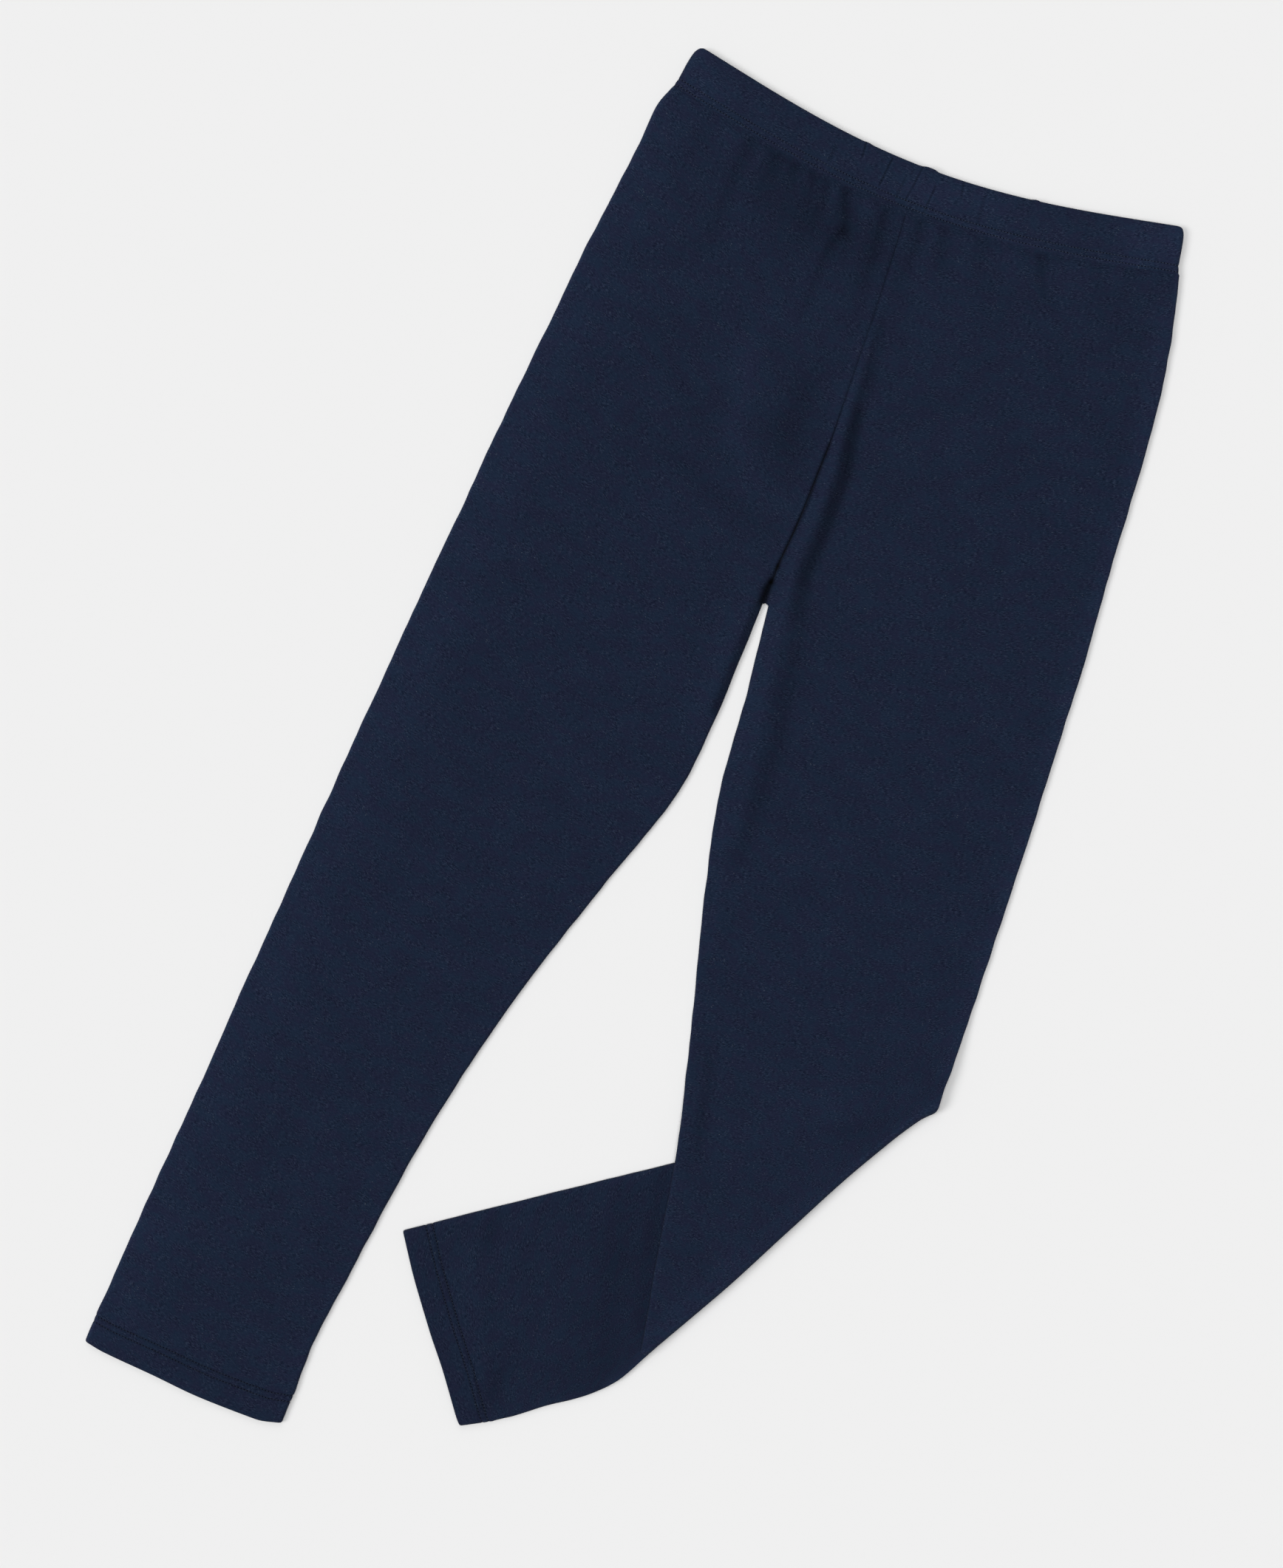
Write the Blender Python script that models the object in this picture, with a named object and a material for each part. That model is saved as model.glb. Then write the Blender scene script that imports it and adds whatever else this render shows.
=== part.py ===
"""Pull-on jersey leggings, laid flat with the front up and one lower leg folded under.

The frame follows the garment: +Y runs up the centre front towards the waist, +X to the wearer's
left and +Z up, and the underside rests on z = 0. The wearer's right leg lies straight. The left one
is turned under along a slanting line below the knee, so its lower half comes out beside it, back
side up. Each leg is one piece of cloth, wrapped round the outer side from the centre front seam to
the centre back seam and closed along the inseam below the crotch. Every piece is a wall, made of
rings of points round the flattened tube: one ring on its outer skin and one on its inner skin.

Sizes are in millimetres, measured from the middle of the straight line between the waist's corners.
"""

import math
from dataclasses import dataclass

import bmesh
import bpy
import numpy as np

MM = 0.001

# The middle of the laid garment, as seen from above
MIDDLE = (-10.92, -331.44)

# Walls and gaps
CLOTH = 1.3
BAND_WALL = 2.2
HEM_WALL = 1.7
SEAM_GAP = 0.3
LEAST_HOLLOW = 0.35

# The waist: how deep its curve runs, and how blunt that curve is
WAIST_SAG = 15.8
WAIST_BLUNTNESS = 1.03
BAND_DEPTH = 21.5
BAND_ROUNDING = 0.6
BAND_THICK = 4.8

# The hems
HEM_ROUNDING = 0.45
HEM_THICK = 3.8

# The fold below the left knee. It runs slantwise, so the leg's outer side meets it further down
# on the lower layer than on the upper one.
FOLD_THICK = 3.2
FOLD_GAP = 0.4
FOLD_OUTER = (153.9, -414.8)
FOLD_OUTER_BELOW = (149.0, -423.6)
FOLD_INNER = (61.4, -580.0)
FOLD_ROWS = 6
RAMP_LENGTH = 42.0
RAMP_CLEAR = 6.0

# Mesh spans round a ring, finer among the gathers below the waist
EDGE_SPANS = 4
FRONT_SPANS = 13
BACK_SPANS = 5
GATHERED_DOWN_TO = 107.0
GATHERED_FRONT_SPANS = 30
GATHERED_BACK_SPANS = 10
BAND_FRONT_SPANS = 60
BAND_BACK_SPANS = 20
FRONT_CROWDING = 1.3
SHARP_ANGLE = 50.0

# How the folds of the cloth fade: over how many millimetres beside a rounded edge, how far
# along a gather, and what share of its wave a longer fold has lost where it starts and ends
EDGE_FADE = 6.0
GATHER_FADE = 0.85
FOLD_END = 0.12

# Both legs above the crotch. Each row is a section across the front: how far down the side it
# starts, how much further down it runs at the seam, the two outer edges, the centre seam,
# the height of the flattened cloth, how far the seam is rolled into the crotch crease,
# and the number of mesh rows down to the next section.
TORSO = (
    # side_down, sag, right_x, left_x, seam_x, thick, rolled, rows
    (21.8, 15.8, -124.6, 124.3, -3.6, 4.8, 0.0, 2),
    (32.0, 14.5, -128.5, 126.9, -3.1, 4.6, 0.0, 3),
    (50.0, 11.0, -129.8, 131.1, -2.4, 4.3, 0.0, 3),
    (75.0, 6.5, -132.7, 135.4, -1.5, 3.9, 0.0, 3),
    (107.0, 2.0, -136.6, 138.7, -0.6, 3.6, 0.0, 3),
    (148.0, 0.0, -140.2, 141.2, 0.7, 3.5, 0.0, 2),
    (165.0, 0.0, -141.9, 142.5, 0.3, 3.4, 0.5, 2),
    (190.0, 0.0, -144.2, 144.6, -0.4, 3.4, 0.75, 2),
    (212.0, 0.0, -146.0, 146.3, -2.0, 3.4, 0.85, 2),
    (229.0, 0.0, -147.2, 147.0, -1.5, 3.4, 1.0, 0),
)

# How far three edges run outside the straight line between their ends, by the share of the way
# from the leg's outer side to its inseam.
RIGHT_HEM_EDGE = (
    # share, outside
    (0.0, 0.0),
    (0.1, 1.4),
    (0.35, 2.4),
    (0.6, 3.6),
    (0.88, 2.9),
    (1.0, 0.0),
)
LEFT_HEM_EDGE = (
    # share, outside
    (0.0, 0.0),
    (0.28, 1.2),
    (0.5, 1.1),
    (0.74, 0.3),
    (0.95, 0.4),
    (1.0, 0.0),
)
FOLD_EDGE = (
    # share, outside
    (0.0, 0.0),
    (0.05, -2.2),
    (0.14, -3.2),
    (0.26, -3.4),
    (0.5, -1.9),
    (0.76, -0.1),
    (1.0, 0.0),
)

# The right leg below the crotch, by sections from its outer edge to its inseam. The columns
# fold and hem say how fully a section follows the curve of the fold and of the hem.
RIGHT_LEG = (
    # name, outer_x, outer_y, inner_x, inner_y, thick, fold, hem, rows
    ("crotch", -147.2, -229.0, -1.65, -229.0, 3.4, 0.0, 0.0, 1),
    ("top of the inseam", -148.1, -240.0, -2.6, -240.0, 3.4, 0.0, 0.0, 3),
    ("thigh", -151.8, -285.0, -4.3, -285.0, 3.3, 0.0, 0.0, 2),
    ("low thigh", -153.9, -315.0, -6.7, -315.0, 3.2, 0.0, 0.0, 1),
    ("above the knee", -154.9, -330.0, -10.0, -330.0, 3.2, 0.0, 0.0, 1),
    ("knee", -156.2, -345.0, -14.7, -345.0, 3.2, 0.0, 0.0, 2),
    ("below the knee", -158.2, -375.0, -25.2, -375.0, 3.2, 0.0, 0.0, 4),
    ("calf", -162.0, -435.0, -44.3, -435.0, 3.2, 0.0, 0.0, 3),
    ("low calf", -165.0, -480.0, -55.7, -480.0, 3.2, 0.0, 0.0, 3),
    ("shin", -168.1, -532.0, -65.6, -532.0, 3.2, 0.0, 0.0, 3),
    ("low shin", -171.9, -585.0, -72.7, -585.0, 3.3, 0.0, 0.1, 2),
    ("ankle", -174.3, -624.0, -77.6, -625.5, 3.6, 0.0, 0.5, 1),
    ("top of the hem", -175.5, -642.0, -77.5, -645.0, 3.8, 0.0, 0.8, 0),
)
RIGHT_HEM = ((-176.0, -656.7), (-78.3, -660.4))

# The left leg from the crotch down to the fold, its sections turning until they lie along it.
LEFT_LEG = (
    # name, outer_x, outer_y, inner_x, inner_y, thick, fold, hem, rows
    ("crotch", 147.0, -229.0, -1.35, -229.0, 3.4, 0.0, 0.0, 1),
    ("top of the inseam", 147.6, -240.0, 1.4, -240.0, 3.4, 0.0, 0.0, 2),
    ("high thigh", 148.8, -262.0, 5.1, -270.0, 3.4, 0.0, 0.0, 2),
    ("thigh", 149.9, -285.0, 8.5, -313.0, 3.3, 0.0, 0.0, 3),
    ("knee", 151.1, -315.0, 19.8, -367.0, 3.2, 0.0, 0.0, 4),
    ("below the knee", 152.5, -352.0, 34.7, -423.5, 3.2, 0.0, 0.0, 4),
    ("over the folded edge", 153.4, -378.0, 48.2, -479.0, 3.2, 0.0, 0.0, 4),
    ("near the fold", 153.7, -396.0, 56.6, -527.0, 3.2, 0.25, 0.0, 2),
    ("beside the fold", 153.8, -407.0, 61.8, -556.0, 3.2, 0.6, 0.0, 2),
    ("fold", *FOLD_OUTER, *FOLD_INNER, FOLD_THICK, 1.0, 0.0, 0),
)

# The left leg beyond the fold, lying under the upper leg and out beside it.
LEFT_LOWER_LEG = (
    # name, outer_x, outer_y, inner_x, inner_y, thick, fold, hem, rows
    ("fold", *FOLD_OUTER_BELOW, *FOLD_INNER, FOLD_THICK, 1.0, 0.0, 1),
    ("behind the fold", 137.0, -429.0, 61.6, -586.4, 3.2, 0.7, 0.0, 2),
    ("under the shin", 107.0, -447.5, 57.6, -591.6, 3.2, 0.3, 0.0, 3),
    ("under the inseam", 70.0, -471.2, 48.8, -599.6, 3.2, 0.0, 0.0, 3),
    ("beside the inseam", 30.0, -498.2, 33.0, -610.6, 3.2, 0.0, 0.0, 3),
    ("shin", -6.0, -522.8, 19.5, -621.0, 3.3, 0.0, 0.2, 2),
    ("ankle", -30.0, -539.2, 13.4, -625.0, 3.6, 0.0, 0.6, 1),
    ("top of the hem", -44.9, -549.6, 11.3, -626.4, 3.8, 0.0, 0.8, 0),
)
LEFT_HEM = ((-57.0, -557.9), (-0.9, -633.0))

# The edge of the hidden part of the lower leg, which the upper leg lies over.
FOLDED_EDGE = ((154.4, -421.0), (107.0, -447.0), (70.0, -471.0), (30.0, -498.1))

# The turned-down casing from the waist's edge to the seam with the legs.
WAISTBAND = (
    # down, right_x, left_x, rounding
    (0.0, -118.4, 117.3, BAND_ROUNDING),
    (0.8, -119.4, 118.3, 0.0),
    (3.0, -120.8, 119.5, 0.0),
    (9.0, -122.2, 120.9, 0.0),
    (15.5, -123.1, 122.0, 0.0),
    (BAND_DEPTH, -124.6, 124.3, 0.0),
)

# Gathers that the elastic draws into the cloth below it. Each fades out down its route.
GATHERS = (
    # name, route, half_width, rise
    ("hip hollow", ((-80.5, -32), (-82, -46), (-83, -84)), 4.5, -0.9),
    ("hip ridge", ((-75, -34), (-76, -62)), 4.0, 0.5),
    ("short hollow 1", ((-68, -35), (-67, -50)), 4.0, -0.8),
    ("short ridge 1", ((-54, -36), (-53, -55)), 4.0, 0.5),
    ("short hollow 2", ((-48, -34), (-46.5, -46), (-42, -62)), 4.0, -0.9),
    ("front ridge 1", ((-38.5, -37), (-35, -72)), 3.5, 0.7),
    ("deep hollow", ((-33, -36), (-27.5, -54), (-30, -64), (-31, -102)), 4.0, -1.2),
    ("front ridge 2", ((-20.5, -38), (-19, -60), (-19.5, -88)), 4.0, 0.8),
    ("seam hollow", ((-11.8, -41), (-10.4, -60), (-9.8, -78)), 3.5, -1.0),
    ("left hollow 1", ((5, -39), (7, -49), (6.5, -75)), 3.5, -0.8),
    ("left ridge 1", ((11, -40), (15, -67)), 3.5, 0.6),
    ("left hollow 2", ((17, -38), (22.5, -64)), 4.5, -0.8),
    ("left ridge 2", ((28, -38), (33, -60)), 4.0, 0.5),
    ("left hollow 3", ((35, -37), (43, -56)), 5.0, -0.6),
    ("left ridge 3", ((50, -36), (59, -62)), 5.0, 0.5),
    ("left hollow 4", ((62.5, -36), (70, -51), (79, -58)), 4.0, -0.9),
    ("left ridge 4", ((76, -31), (87, -54)), 4.5, 0.5),
    ("left hollow 5", ((88, -28), (96, -46)), 4.5, -0.6),
    ("left ridge 5", ((96, -27), (101, -42)), 4.0, 0.4),
    ("left hollow 6", ((103, -26), (106, -42)), 4.0, -0.5),
    ("side hollow right", ((-102, -29), (-105, -52)), 5.0, -0.5),
    ("side ridge right", ((-92, -31), (-94, -56)), 5.0, 0.4),
)

# Longer soft folds on the front. Each fades out at both ends of its route.
FRONT_FOLDS = (
    # name, route, half_width, rise
    ("seam ridge", ((-3.4, -42), (-2.2, -65), (-1.1, -88), (0, -128), (0.7, -146)), 2.5, 0.4),
    ("soft ridge", ((-46, -96), (-47, -128), (-41, -160), (-28, -176), (-10, -180)), 7.0, 0.8),
    ("hollow beside the crease", ((-20, -128), (-20, -150), (-17, -168)), 9.0, -0.6),
    ("slanting hollow", ((-78, -176), (-44, -188), (-10, -195)), 7.0, -0.6),
    ("thigh hollow", ((-76, -148), (-48, -166)), 8.0, -0.4),
    ("rolled inseam", ((2, -100), (4, -145), (5.5, -178), (4.5, -205), (7, -232), (14, -275), (20, -318)), 4.5, 0.8),
    ("long hollow", ((4, -94), (8, -116), (8, -134), (12, -162), (12.5, -190), (11.5, -210),
                     (20.5, -245), (22, -265), (28, -300), (28.5, -340)), 4.5, -1.0),
    ("right inseam roll", ((-9, -226), (-11, -262), (-13, -300)), 6.0, 0.5),
    ("left shin hollow", ((48, -432), (54, -460), (60, -480)), 4.5, -0.6),
    ("hollow along the fold", ((137, -430), (112, -448)), 7.0, -0.5),
    ("ridge over the folded edge", ((148, -414), (104, -441), (64, -468)), 9.0, 0.4),
)

# Soft folds on the back of the lower left leg, which faces up.
LOWER_FOLDS = (
    # name, route, half_width, rise
    ("hollow beside the inseam", ((36, -508), (44, -548), (50, -584)), 6.0, -0.5),
    ("hem hollow", ((-16, -531), (-17, -552)), 4.0, -0.5),
    ("hem ridge", ((-28, -552), (-12, -577)), 5.0, 0.4),
    ("corner hollow", ((10, -600), (10, -620)), 5.0, -0.6),
)

NAVY = (0.0123, 0.0185, 0.0369, 1.0)
BAND_NAVY = (0.0132, 0.0196, 0.0385, 1.0)


@dataclass
class Row:
    """One section across a flattened tube, between the plan places of its inner and outer end."""

    inner: tuple
    outer: tuple
    thick: float
    sag: float = 0.0
    fold: float = 0.0
    hem: float = 0.0
    hem_edge: tuple = RIGHT_HEM_EDGE
    rolled: float = 1.0
    rounding: float = 0.0
    turn: float = 0.0
    gathered: bool = False
    closed: bool = True


def smooth(share):
    """0 to 1 with soft ends, as share goes from 0 to 1."""
    share = np.clip(share, 0, 1)
    return share * share * (3 - 2 * share)


def curve_through(stations, values, places):
    """Values at some places on a smooth curve that passes each station and never overshoots."""
    steps = np.diff(stations)
    slopes = np.diff(values) / steps
    tangents = np.concatenate([slopes[:1], np.zeros(len(slopes) - 1), slopes[-1:]])
    for i, (before, after) in enumerate(zip(slopes, slopes[1:]), start=1):
        if before * after > 0:
            tangents[i] = 2 * before * after / (before + after)
    at = np.clip(np.searchsorted(stations, places, side="right") - 1, 0, len(steps) - 1)
    step = steps[at]
    t = (places - np.asarray(stations)[at]) / step
    start, end = np.asarray(values)[at], np.asarray(values)[at + 1]
    return (
        start * (1 + 2 * t) * (1 - t) ** 2
        + end * t * t * (3 - 2 * t)
        + step * t * (1 - t) * (tangents[at] * (1 - t) - tangents[at + 1] * t)
    )


def subdivide(table):
    """The table's number columns, read at every mesh row between its sections. The last column
    says how many mesh rows there are down to the next section."""
    numbers = np.array([[value for value in row if not isinstance(value, str)] for row in table])
    counts = numbers[:-1, -1].astype(int)
    stations = np.arange(len(table), dtype=float)
    places = np.concatenate(
        [i + np.arange(count) / count for i, count in enumerate(counts)] + [stations[-1:]]
    )
    columns = [curve_through(stations, column, places) for column in numbers.T[:-1]]
    return list(zip(*columns))


def waist_shape(share):
    """The waist's curve: 1 at the centre front, 0 at the side."""
    return np.cos(math.pi / 2 * np.clip(np.abs(share), 0, 1)) ** WAIST_BLUNTNESS


def plan_places(row, share):
    """Plan places at some shares of the way from a section's inner end to its outer end."""
    inner, outer = np.array(row.inner), np.array(row.outer)
    across = outer - inner
    places = inner + share[:, None] * across
    if row.sag:
        places[:, 1] = outer[1] - row.sag * waist_shape(places[:, 0] / outer[0])
    from_outer = np.clip(1 - share, 0, 1)
    hem_side = np.array([-across[1], across[0]]) / np.hypot(*across)
    outside = row.hem * curve_through(*np.array(row.hem_edge).T, from_outer)
    outside -= row.fold * curve_through(*np.array(FOLD_EDGE).T, from_outer)
    return places + outside[:, None] * hem_side


def fold_rise(folds, places, fades_at_both_ends):
    """How much each soft ridge or hollow lifts the cloth at some plan places."""
    rise = np.zeros(len(places))
    for _, route, half_width, height in folds:
        route = np.array(route, float)
        spans = np.diff(route, axis=0)
        lengths = np.hypot(*spans.T)
        starts = np.concatenate([[0], np.cumsum(lengths)])
        nearest = np.full(len(places), np.inf)
        along = np.zeros(len(places))
        for corner, span, length, start in zip(route, spans, lengths, starts):
            share = np.clip((places - corner) @ span / length**2, 0, 1)
            distance = np.hypot(*(places - corner - share[:, None] * span).T)
            along = np.where(distance < nearest, start + share * length, along)
            nearest = np.minimum(nearest, distance)
        share = along / starts[-1]
        if fades_at_both_ends:
            fade = np.sin(math.pi * (FOLD_END + (1 - 2 * FOLD_END) * share))
        else:
            fade = 1 - GATHER_FADE * share
        rise += height * fade * np.exp(-((nearest / half_width) ** 2))
    return rise


def distance_before_folded_edge(places):
    """How far each plan place lies up the leg from the hidden edge of the folded part."""
    edge_x, edge_y = np.array(FOLDED_EDGE)[::-1].T
    slope = (edge_y[-1] - edge_y[0]) / (edge_x[-1] - edge_x[0])
    height = places[:, 1] - np.interp(places[:, 0], edge_x, edge_y)
    return height / math.hypot(1, slope)


def lift(places):
    """How high the underside of the upper left leg is carried by the part folded beneath it."""
    share = 1 - (distance_before_folded_edge(places) - RAMP_CLEAR) / RAMP_LENGTH
    return (FOLD_THICK + FOLD_GAP) * smooth(share)


def ring_marks(front_spans, back_spans):
    """Marks round a ring. 0 to 1 is the upper half of the inner edge, 1 to 2 the front,
    2 to 3 the outer edge, 3 to 4 the back and 4 to 5 the lower half of the inner edge."""
    half_edge = EDGE_SPANS // 2
    return np.concatenate([
        np.arange(half_edge) / half_edge,
        1 + (np.arange(front_spans) / front_spans) ** FRONT_CROWDING,
        2 + np.arange(EDGE_SPANS) / EDGE_SPANS,
        3 + np.arange(back_spans) / back_spans,
        4 + np.arange(half_edge + 1) / half_edge,
    ])


def skin(row, width, depth, marks):
    """(across, height) of each mark on a skin that lies some depth inside the tube's outer one."""
    middle = row.thick / 2
    reach = middle - depth
    part = np.clip(marks.astype(int), 0, 4)
    share = marks - part
    angle = math.pi / 2 * np.choose(part, [share, 1, 1 - 2 * share, 1, 1 - share])
    side = np.where(part >= 3, -1, 1)
    rolled_across = middle - reach * np.cos(angle)
    flush_across = middle * np.choose(part, [share, 1, 1, 1, 1 - share])
    inner_across = row.rolled * rolled_across + (1 - row.rolled) * flush_across
    rolled_height = middle + side * reach * np.sin(angle)
    flush_height = middle + side * reach
    inner_height = row.rolled * rolled_height + (1 - row.rolled) * flush_height
    flat = width - row.thick
    across = np.choose(part, [
        inner_across,
        middle + share * flat,
        width - middle + reach * np.cos(angle),
        width - middle - share * flat,
        inner_across,
    ])
    height = np.choose(part, [
        inner_height, middle + reach, rolled_height, middle - reach, inner_height,
    ])
    return across, height


def shown_rise(row, places, across, width, marks):
    """Lift of the side that faces up, by the soft folds, fading out at the rounded edges."""
    if row.turn == 0:
        rise = fold_rise(GATHERS, places, False) + fold_rise(FRONT_FOLDS, places, True)
        faces_up = marks <= 2
    elif row.turn == 180:
        rise = fold_rise(LOWER_FOLDS, places, True)
        faces_up = marks >= 3
    else:
        return np.zeros(len(marks))
    lowest = 2 * CLOTH + LEAST_HOLLOW - row.thick
    outer_fade = smooth((width - across) / EDGE_FADE)
    inner_fade = 1 - row.rolled * (1 - smooth(across / EDGE_FADE))
    return np.where(faces_up, np.maximum(rise, lowest) * outer_fade * inner_fade, 0)


def place_ring(row, depth, marks, is_folded_leg):
    """The ring's points in space, in metres."""
    width = math.dist(row.inner, row.outer)
    across, height = skin(row, width, depth, marks)
    places = plan_places(row, across / width)
    rise = shown_rise(row, places, across, width, marks)
    if row.turn == 180:
        level = row.thick - height + rise
    elif row.turn == 0:
        level = height + rise + (lift(places) if is_folded_leg else 0)
    else:
        angle = math.radians(row.turn)
        radius = FOLD_GAP / 2 + height
        along = np.array(FOLD_INNER) - np.array(FOLD_OUTER)
        outwards = np.array([-along[1], along[0]]) / np.hypot(*along)
        places = places + radius[:, None] * math.sin(angle) * outwards
        level = FOLD_THICK + FOLD_GAP / 2 + radius * math.cos(angle)
    centred = places - np.array(MIDDLE)
    return np.column_stack([centred, level]) * MM


def zip_rows(bm, upper, upper_marks, lower, lower_marks):
    """Faces between two rings of vertices, stepping along whichever mark comes next."""
    i = j = 0
    while i < len(upper) - 1 or j < len(lower) - 1:
        next_upper = upper_marks[i + 1] if i < len(upper) - 1 else math.inf
        next_lower = lower_marks[j + 1] if j < len(lower) - 1 else math.inf
        corners = [upper[i], lower[j]]
        if next_lower <= next_upper + 1e-9:
            j += 1
            corners.append(lower[j])
        if next_upper <= next_lower + 1e-9:
            i += 1
            corners.append(upper[i])
        bm.faces.new(corners)


def add_ring(bm, row, depth, marks, is_folded_leg):
    """The ring's vertices. A closed ring ends on the vertex that it starts from."""
    points = place_ring(row, depth, marks, is_folded_leg)
    if not row.closed:
        return [bm.verts.new(point) for point in points]
    vertices = [bm.verts.new(point) for point in points[:-1]]
    return vertices + vertices[:1]


def wall_through(name, rows, wall, marks_of, is_folded_leg=False):
    """One closed wall along all the rows, with open ends and, where a ring isn't closed, an open
    slit along the centre seam."""
    bm = bmesh.new()
    rings = []
    for row in rows:
        marks = marks_of(row)
        outer = add_ring(bm, row, row.rounding, marks, is_folded_leg)
        inner = add_ring(bm, row, wall - row.rounding, marks, is_folded_leg)
        rings.append((row, marks, outer, inner))
    for (row, marks, outer, inner), (_, next_marks, next_outer, next_inner) in zip(rings, rings[1:]):
        zip_rows(bm, outer, marks, next_outer, next_marks)
        zip_rows(bm, inner, marks, next_inner, next_marks)
        if not row.closed:
            bm.faces.new([outer[0], inner[0], next_inner[0], next_outer[0]])
            bm.faces.new([outer[-1], inner[-1], next_inner[-1], next_outer[-1]])
    for _, marks, outer, inner in (rings[0], rings[-1]):
        zip_rows(bm, outer, marks, inner, marks)
    bmesh.ops.recalc_face_normals(bm, faces=bm.faces)
    mesh = bpy.data.meshes.new(name)
    bm.to_mesh(mesh)
    bm.free()
    mesh.shade_smooth()
    mesh.set_sharp_from_angle(angle=math.radians(SHARP_ANGLE))
    piece = bpy.data.objects.new(name, mesh)
    bpy.context.scene.collection.objects.link(piece)
    return piece


def torso_rows(is_left):
    """Sections from under the band down to the crotch, open along the centre seam."""
    rows = []
    for side_down, sag, right_x, left_x, seam_x, thick, rolled in subdivide(TORSO):
        outer_x = left_x if is_left else right_x
        inner_x = seam_x + (SEAM_GAP / 2 if is_left else -SEAM_GAP / 2)
        rows.append(Row(
            inner=(inner_x, -side_down - sag),
            outer=(outer_x, -side_down),
            thick=thick,
            sag=sag,
            rolled=rolled,
            gathered=side_down < GATHERED_DOWN_TO,
            closed=False,
        ))
    return rows[:-1]


def leg_rows(table, hem_edge, turn=0.0):
    """Sections of a leg below the crotch, closed at the inseam."""
    return [
        Row(
            inner=(inner_x, inner_y),
            outer=(outer_x, outer_y),
            thick=thick,
            fold=fold,
            hem=hem,
            hem_edge=hem_edge,
            turn=turn,
        )
        for outer_x, outer_y, inner_x, inner_y, thick, fold, hem in subdivide(table)
    ]


def bend_rows():
    """Sections round the fold, between the upper leg and the part that is turned under."""
    rows = []
    for share in np.arange(1, FOLD_ROWS) / FOLD_ROWS:
        outer = np.array(FOLD_OUTER) + share * (np.array(FOLD_OUTER_BELOW) - FOLD_OUTER)
        rows.append(Row(FOLD_INNER, tuple(outer), FOLD_THICK, fold=1.0, turn=180 * share))
    return rows


def hem_rows(table, foot, hem_edge, turn=0.0):
    """Sections of the turned-up hem below the last section of a leg."""
    _, outer_x, outer_y, inner_x, inner_y, _, _, hem_at_top, _ = table[-1]
    top = np.array([[outer_x, outer_y], [inner_x, inner_y]])
    way = np.array(foot) - top
    depth = np.hypot(*way.mean(axis=0))
    downs = (SEAM_GAP, depth / 2, depth - HEM_ROUNDING, depth)
    roundings = (0.0, 0.0, 0.0, HEM_ROUNDING)
    rows = []
    for down, rounding in zip(downs, roundings):
        share = down / depth
        outer, inner = top + share * way
        rows.append(Row(
            inner=tuple(inner),
            outer=tuple(outer),
            thick=HEM_THICK,
            hem=hem_at_top + share * (1 - hem_at_top),
            hem_edge=hem_edge,
            rounding=rounding,
            turn=turn,
        ))
    return rows


def band_rows():
    """Sections of the waistband's flattened ring, from the waist's edge down to the legs."""
    return [
        Row(
            inner=(right_x, -down),
            outer=(left_x, -down),
            thick=BAND_THICK,
            sag=WAIST_SAG,
            rounding=rounding,
        )
        for down, right_x, left_x, rounding in WAISTBAND
    ]


def leg_marks(row):
    if row.gathered:
        return ring_marks(GATHERED_FRONT_SPANS, GATHERED_BACK_SPANS)
    return ring_marks(FRONT_SPANS, BACK_SPANS)


def band_marks(_):
    """Marks round the band, crowded towards the centre front where the cloth is tucked."""
    marks = ring_marks(BAND_FRONT_SPANS, BAND_BACK_SPANS)
    on_front = (marks > 1) & (marks < 2)
    even = np.linspace(-1, 1, on_front.sum() + 2)[1:-1]
    marks[on_front] = 1.5 + 0.5 * np.sign(even) * np.abs(even) ** FRONT_CROWDING
    return marks


def jersey(name, colour, roughness):
    """A plain matt cotton finish."""
    material = bpy.data.materials.new(name)
    material.use_nodes = True
    shader = material.node_tree.nodes["Principled BSDF"]
    shader.inputs["Base Color"].default_value = colour
    shader.inputs["Roughness"].default_value = roughness
    shader.inputs["Metallic"].default_value = 0.0
    return material


def clear_scene():
    for thing in list(bpy.data.objects):
        bpy.data.objects.remove(thing, do_unlink=True)


def main():
    clear_scene()
    left_rows = (
        torso_rows(is_left=True)
        + leg_rows(LEFT_LEG, LEFT_HEM_EDGE)
        + bend_rows()
        + leg_rows(LEFT_LOWER_LEG, LEFT_HEM_EDGE, turn=180)
    )
    right_rows = torso_rows(is_left=False) + leg_rows(RIGHT_LEG, RIGHT_HEM_EDGE)
    right_hem_rows = hem_rows(RIGHT_LEG, RIGHT_HEM, RIGHT_HEM_EDGE)
    left_hem_rows = hem_rows(LEFT_LOWER_LEG, LEFT_HEM, LEFT_HEM_EDGE, turn=180)
    pieces = {
        "leg_right": wall_through("leg_right", right_rows, CLOTH, leg_marks),
        "leg_left": wall_through("leg_left", left_rows, CLOTH, leg_marks, is_folded_leg=True),
        "waistband": wall_through("waistband", band_rows(), BAND_WALL, band_marks),
        "hem_right": wall_through("hem_right", right_hem_rows, HEM_WALL, leg_marks),
        "hem_left": wall_through("hem_left", left_hem_rows, HEM_WALL, leg_marks),
    }
    finishes = {
        "leg_right": ("right leg jersey", NAVY, 0.9),
        "leg_left": ("left leg jersey", NAVY, 0.9),
        "waistband": ("waistband jersey", BAND_NAVY, 0.88),
        "hem_right": ("right hem jersey", NAVY, 0.9),
        "hem_left": ("left hem jersey", NAVY, 0.9),
    }
    for node, piece in pieces.items():
        piece.data.materials.append(jersey(*finishes[node]))


main()
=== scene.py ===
"""Pull-on jersey leggings, laid flat with the front up and one lower leg folded under.

Each piece is a thin shell round the same sections as its solid, with finer folds. Places on the
garment are in millimetres, measured from the middle of the straight line between the waist's
corners: x to the wearer's left, y up towards the waist. Heights are above the surface it lies on.
"""

import math

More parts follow.
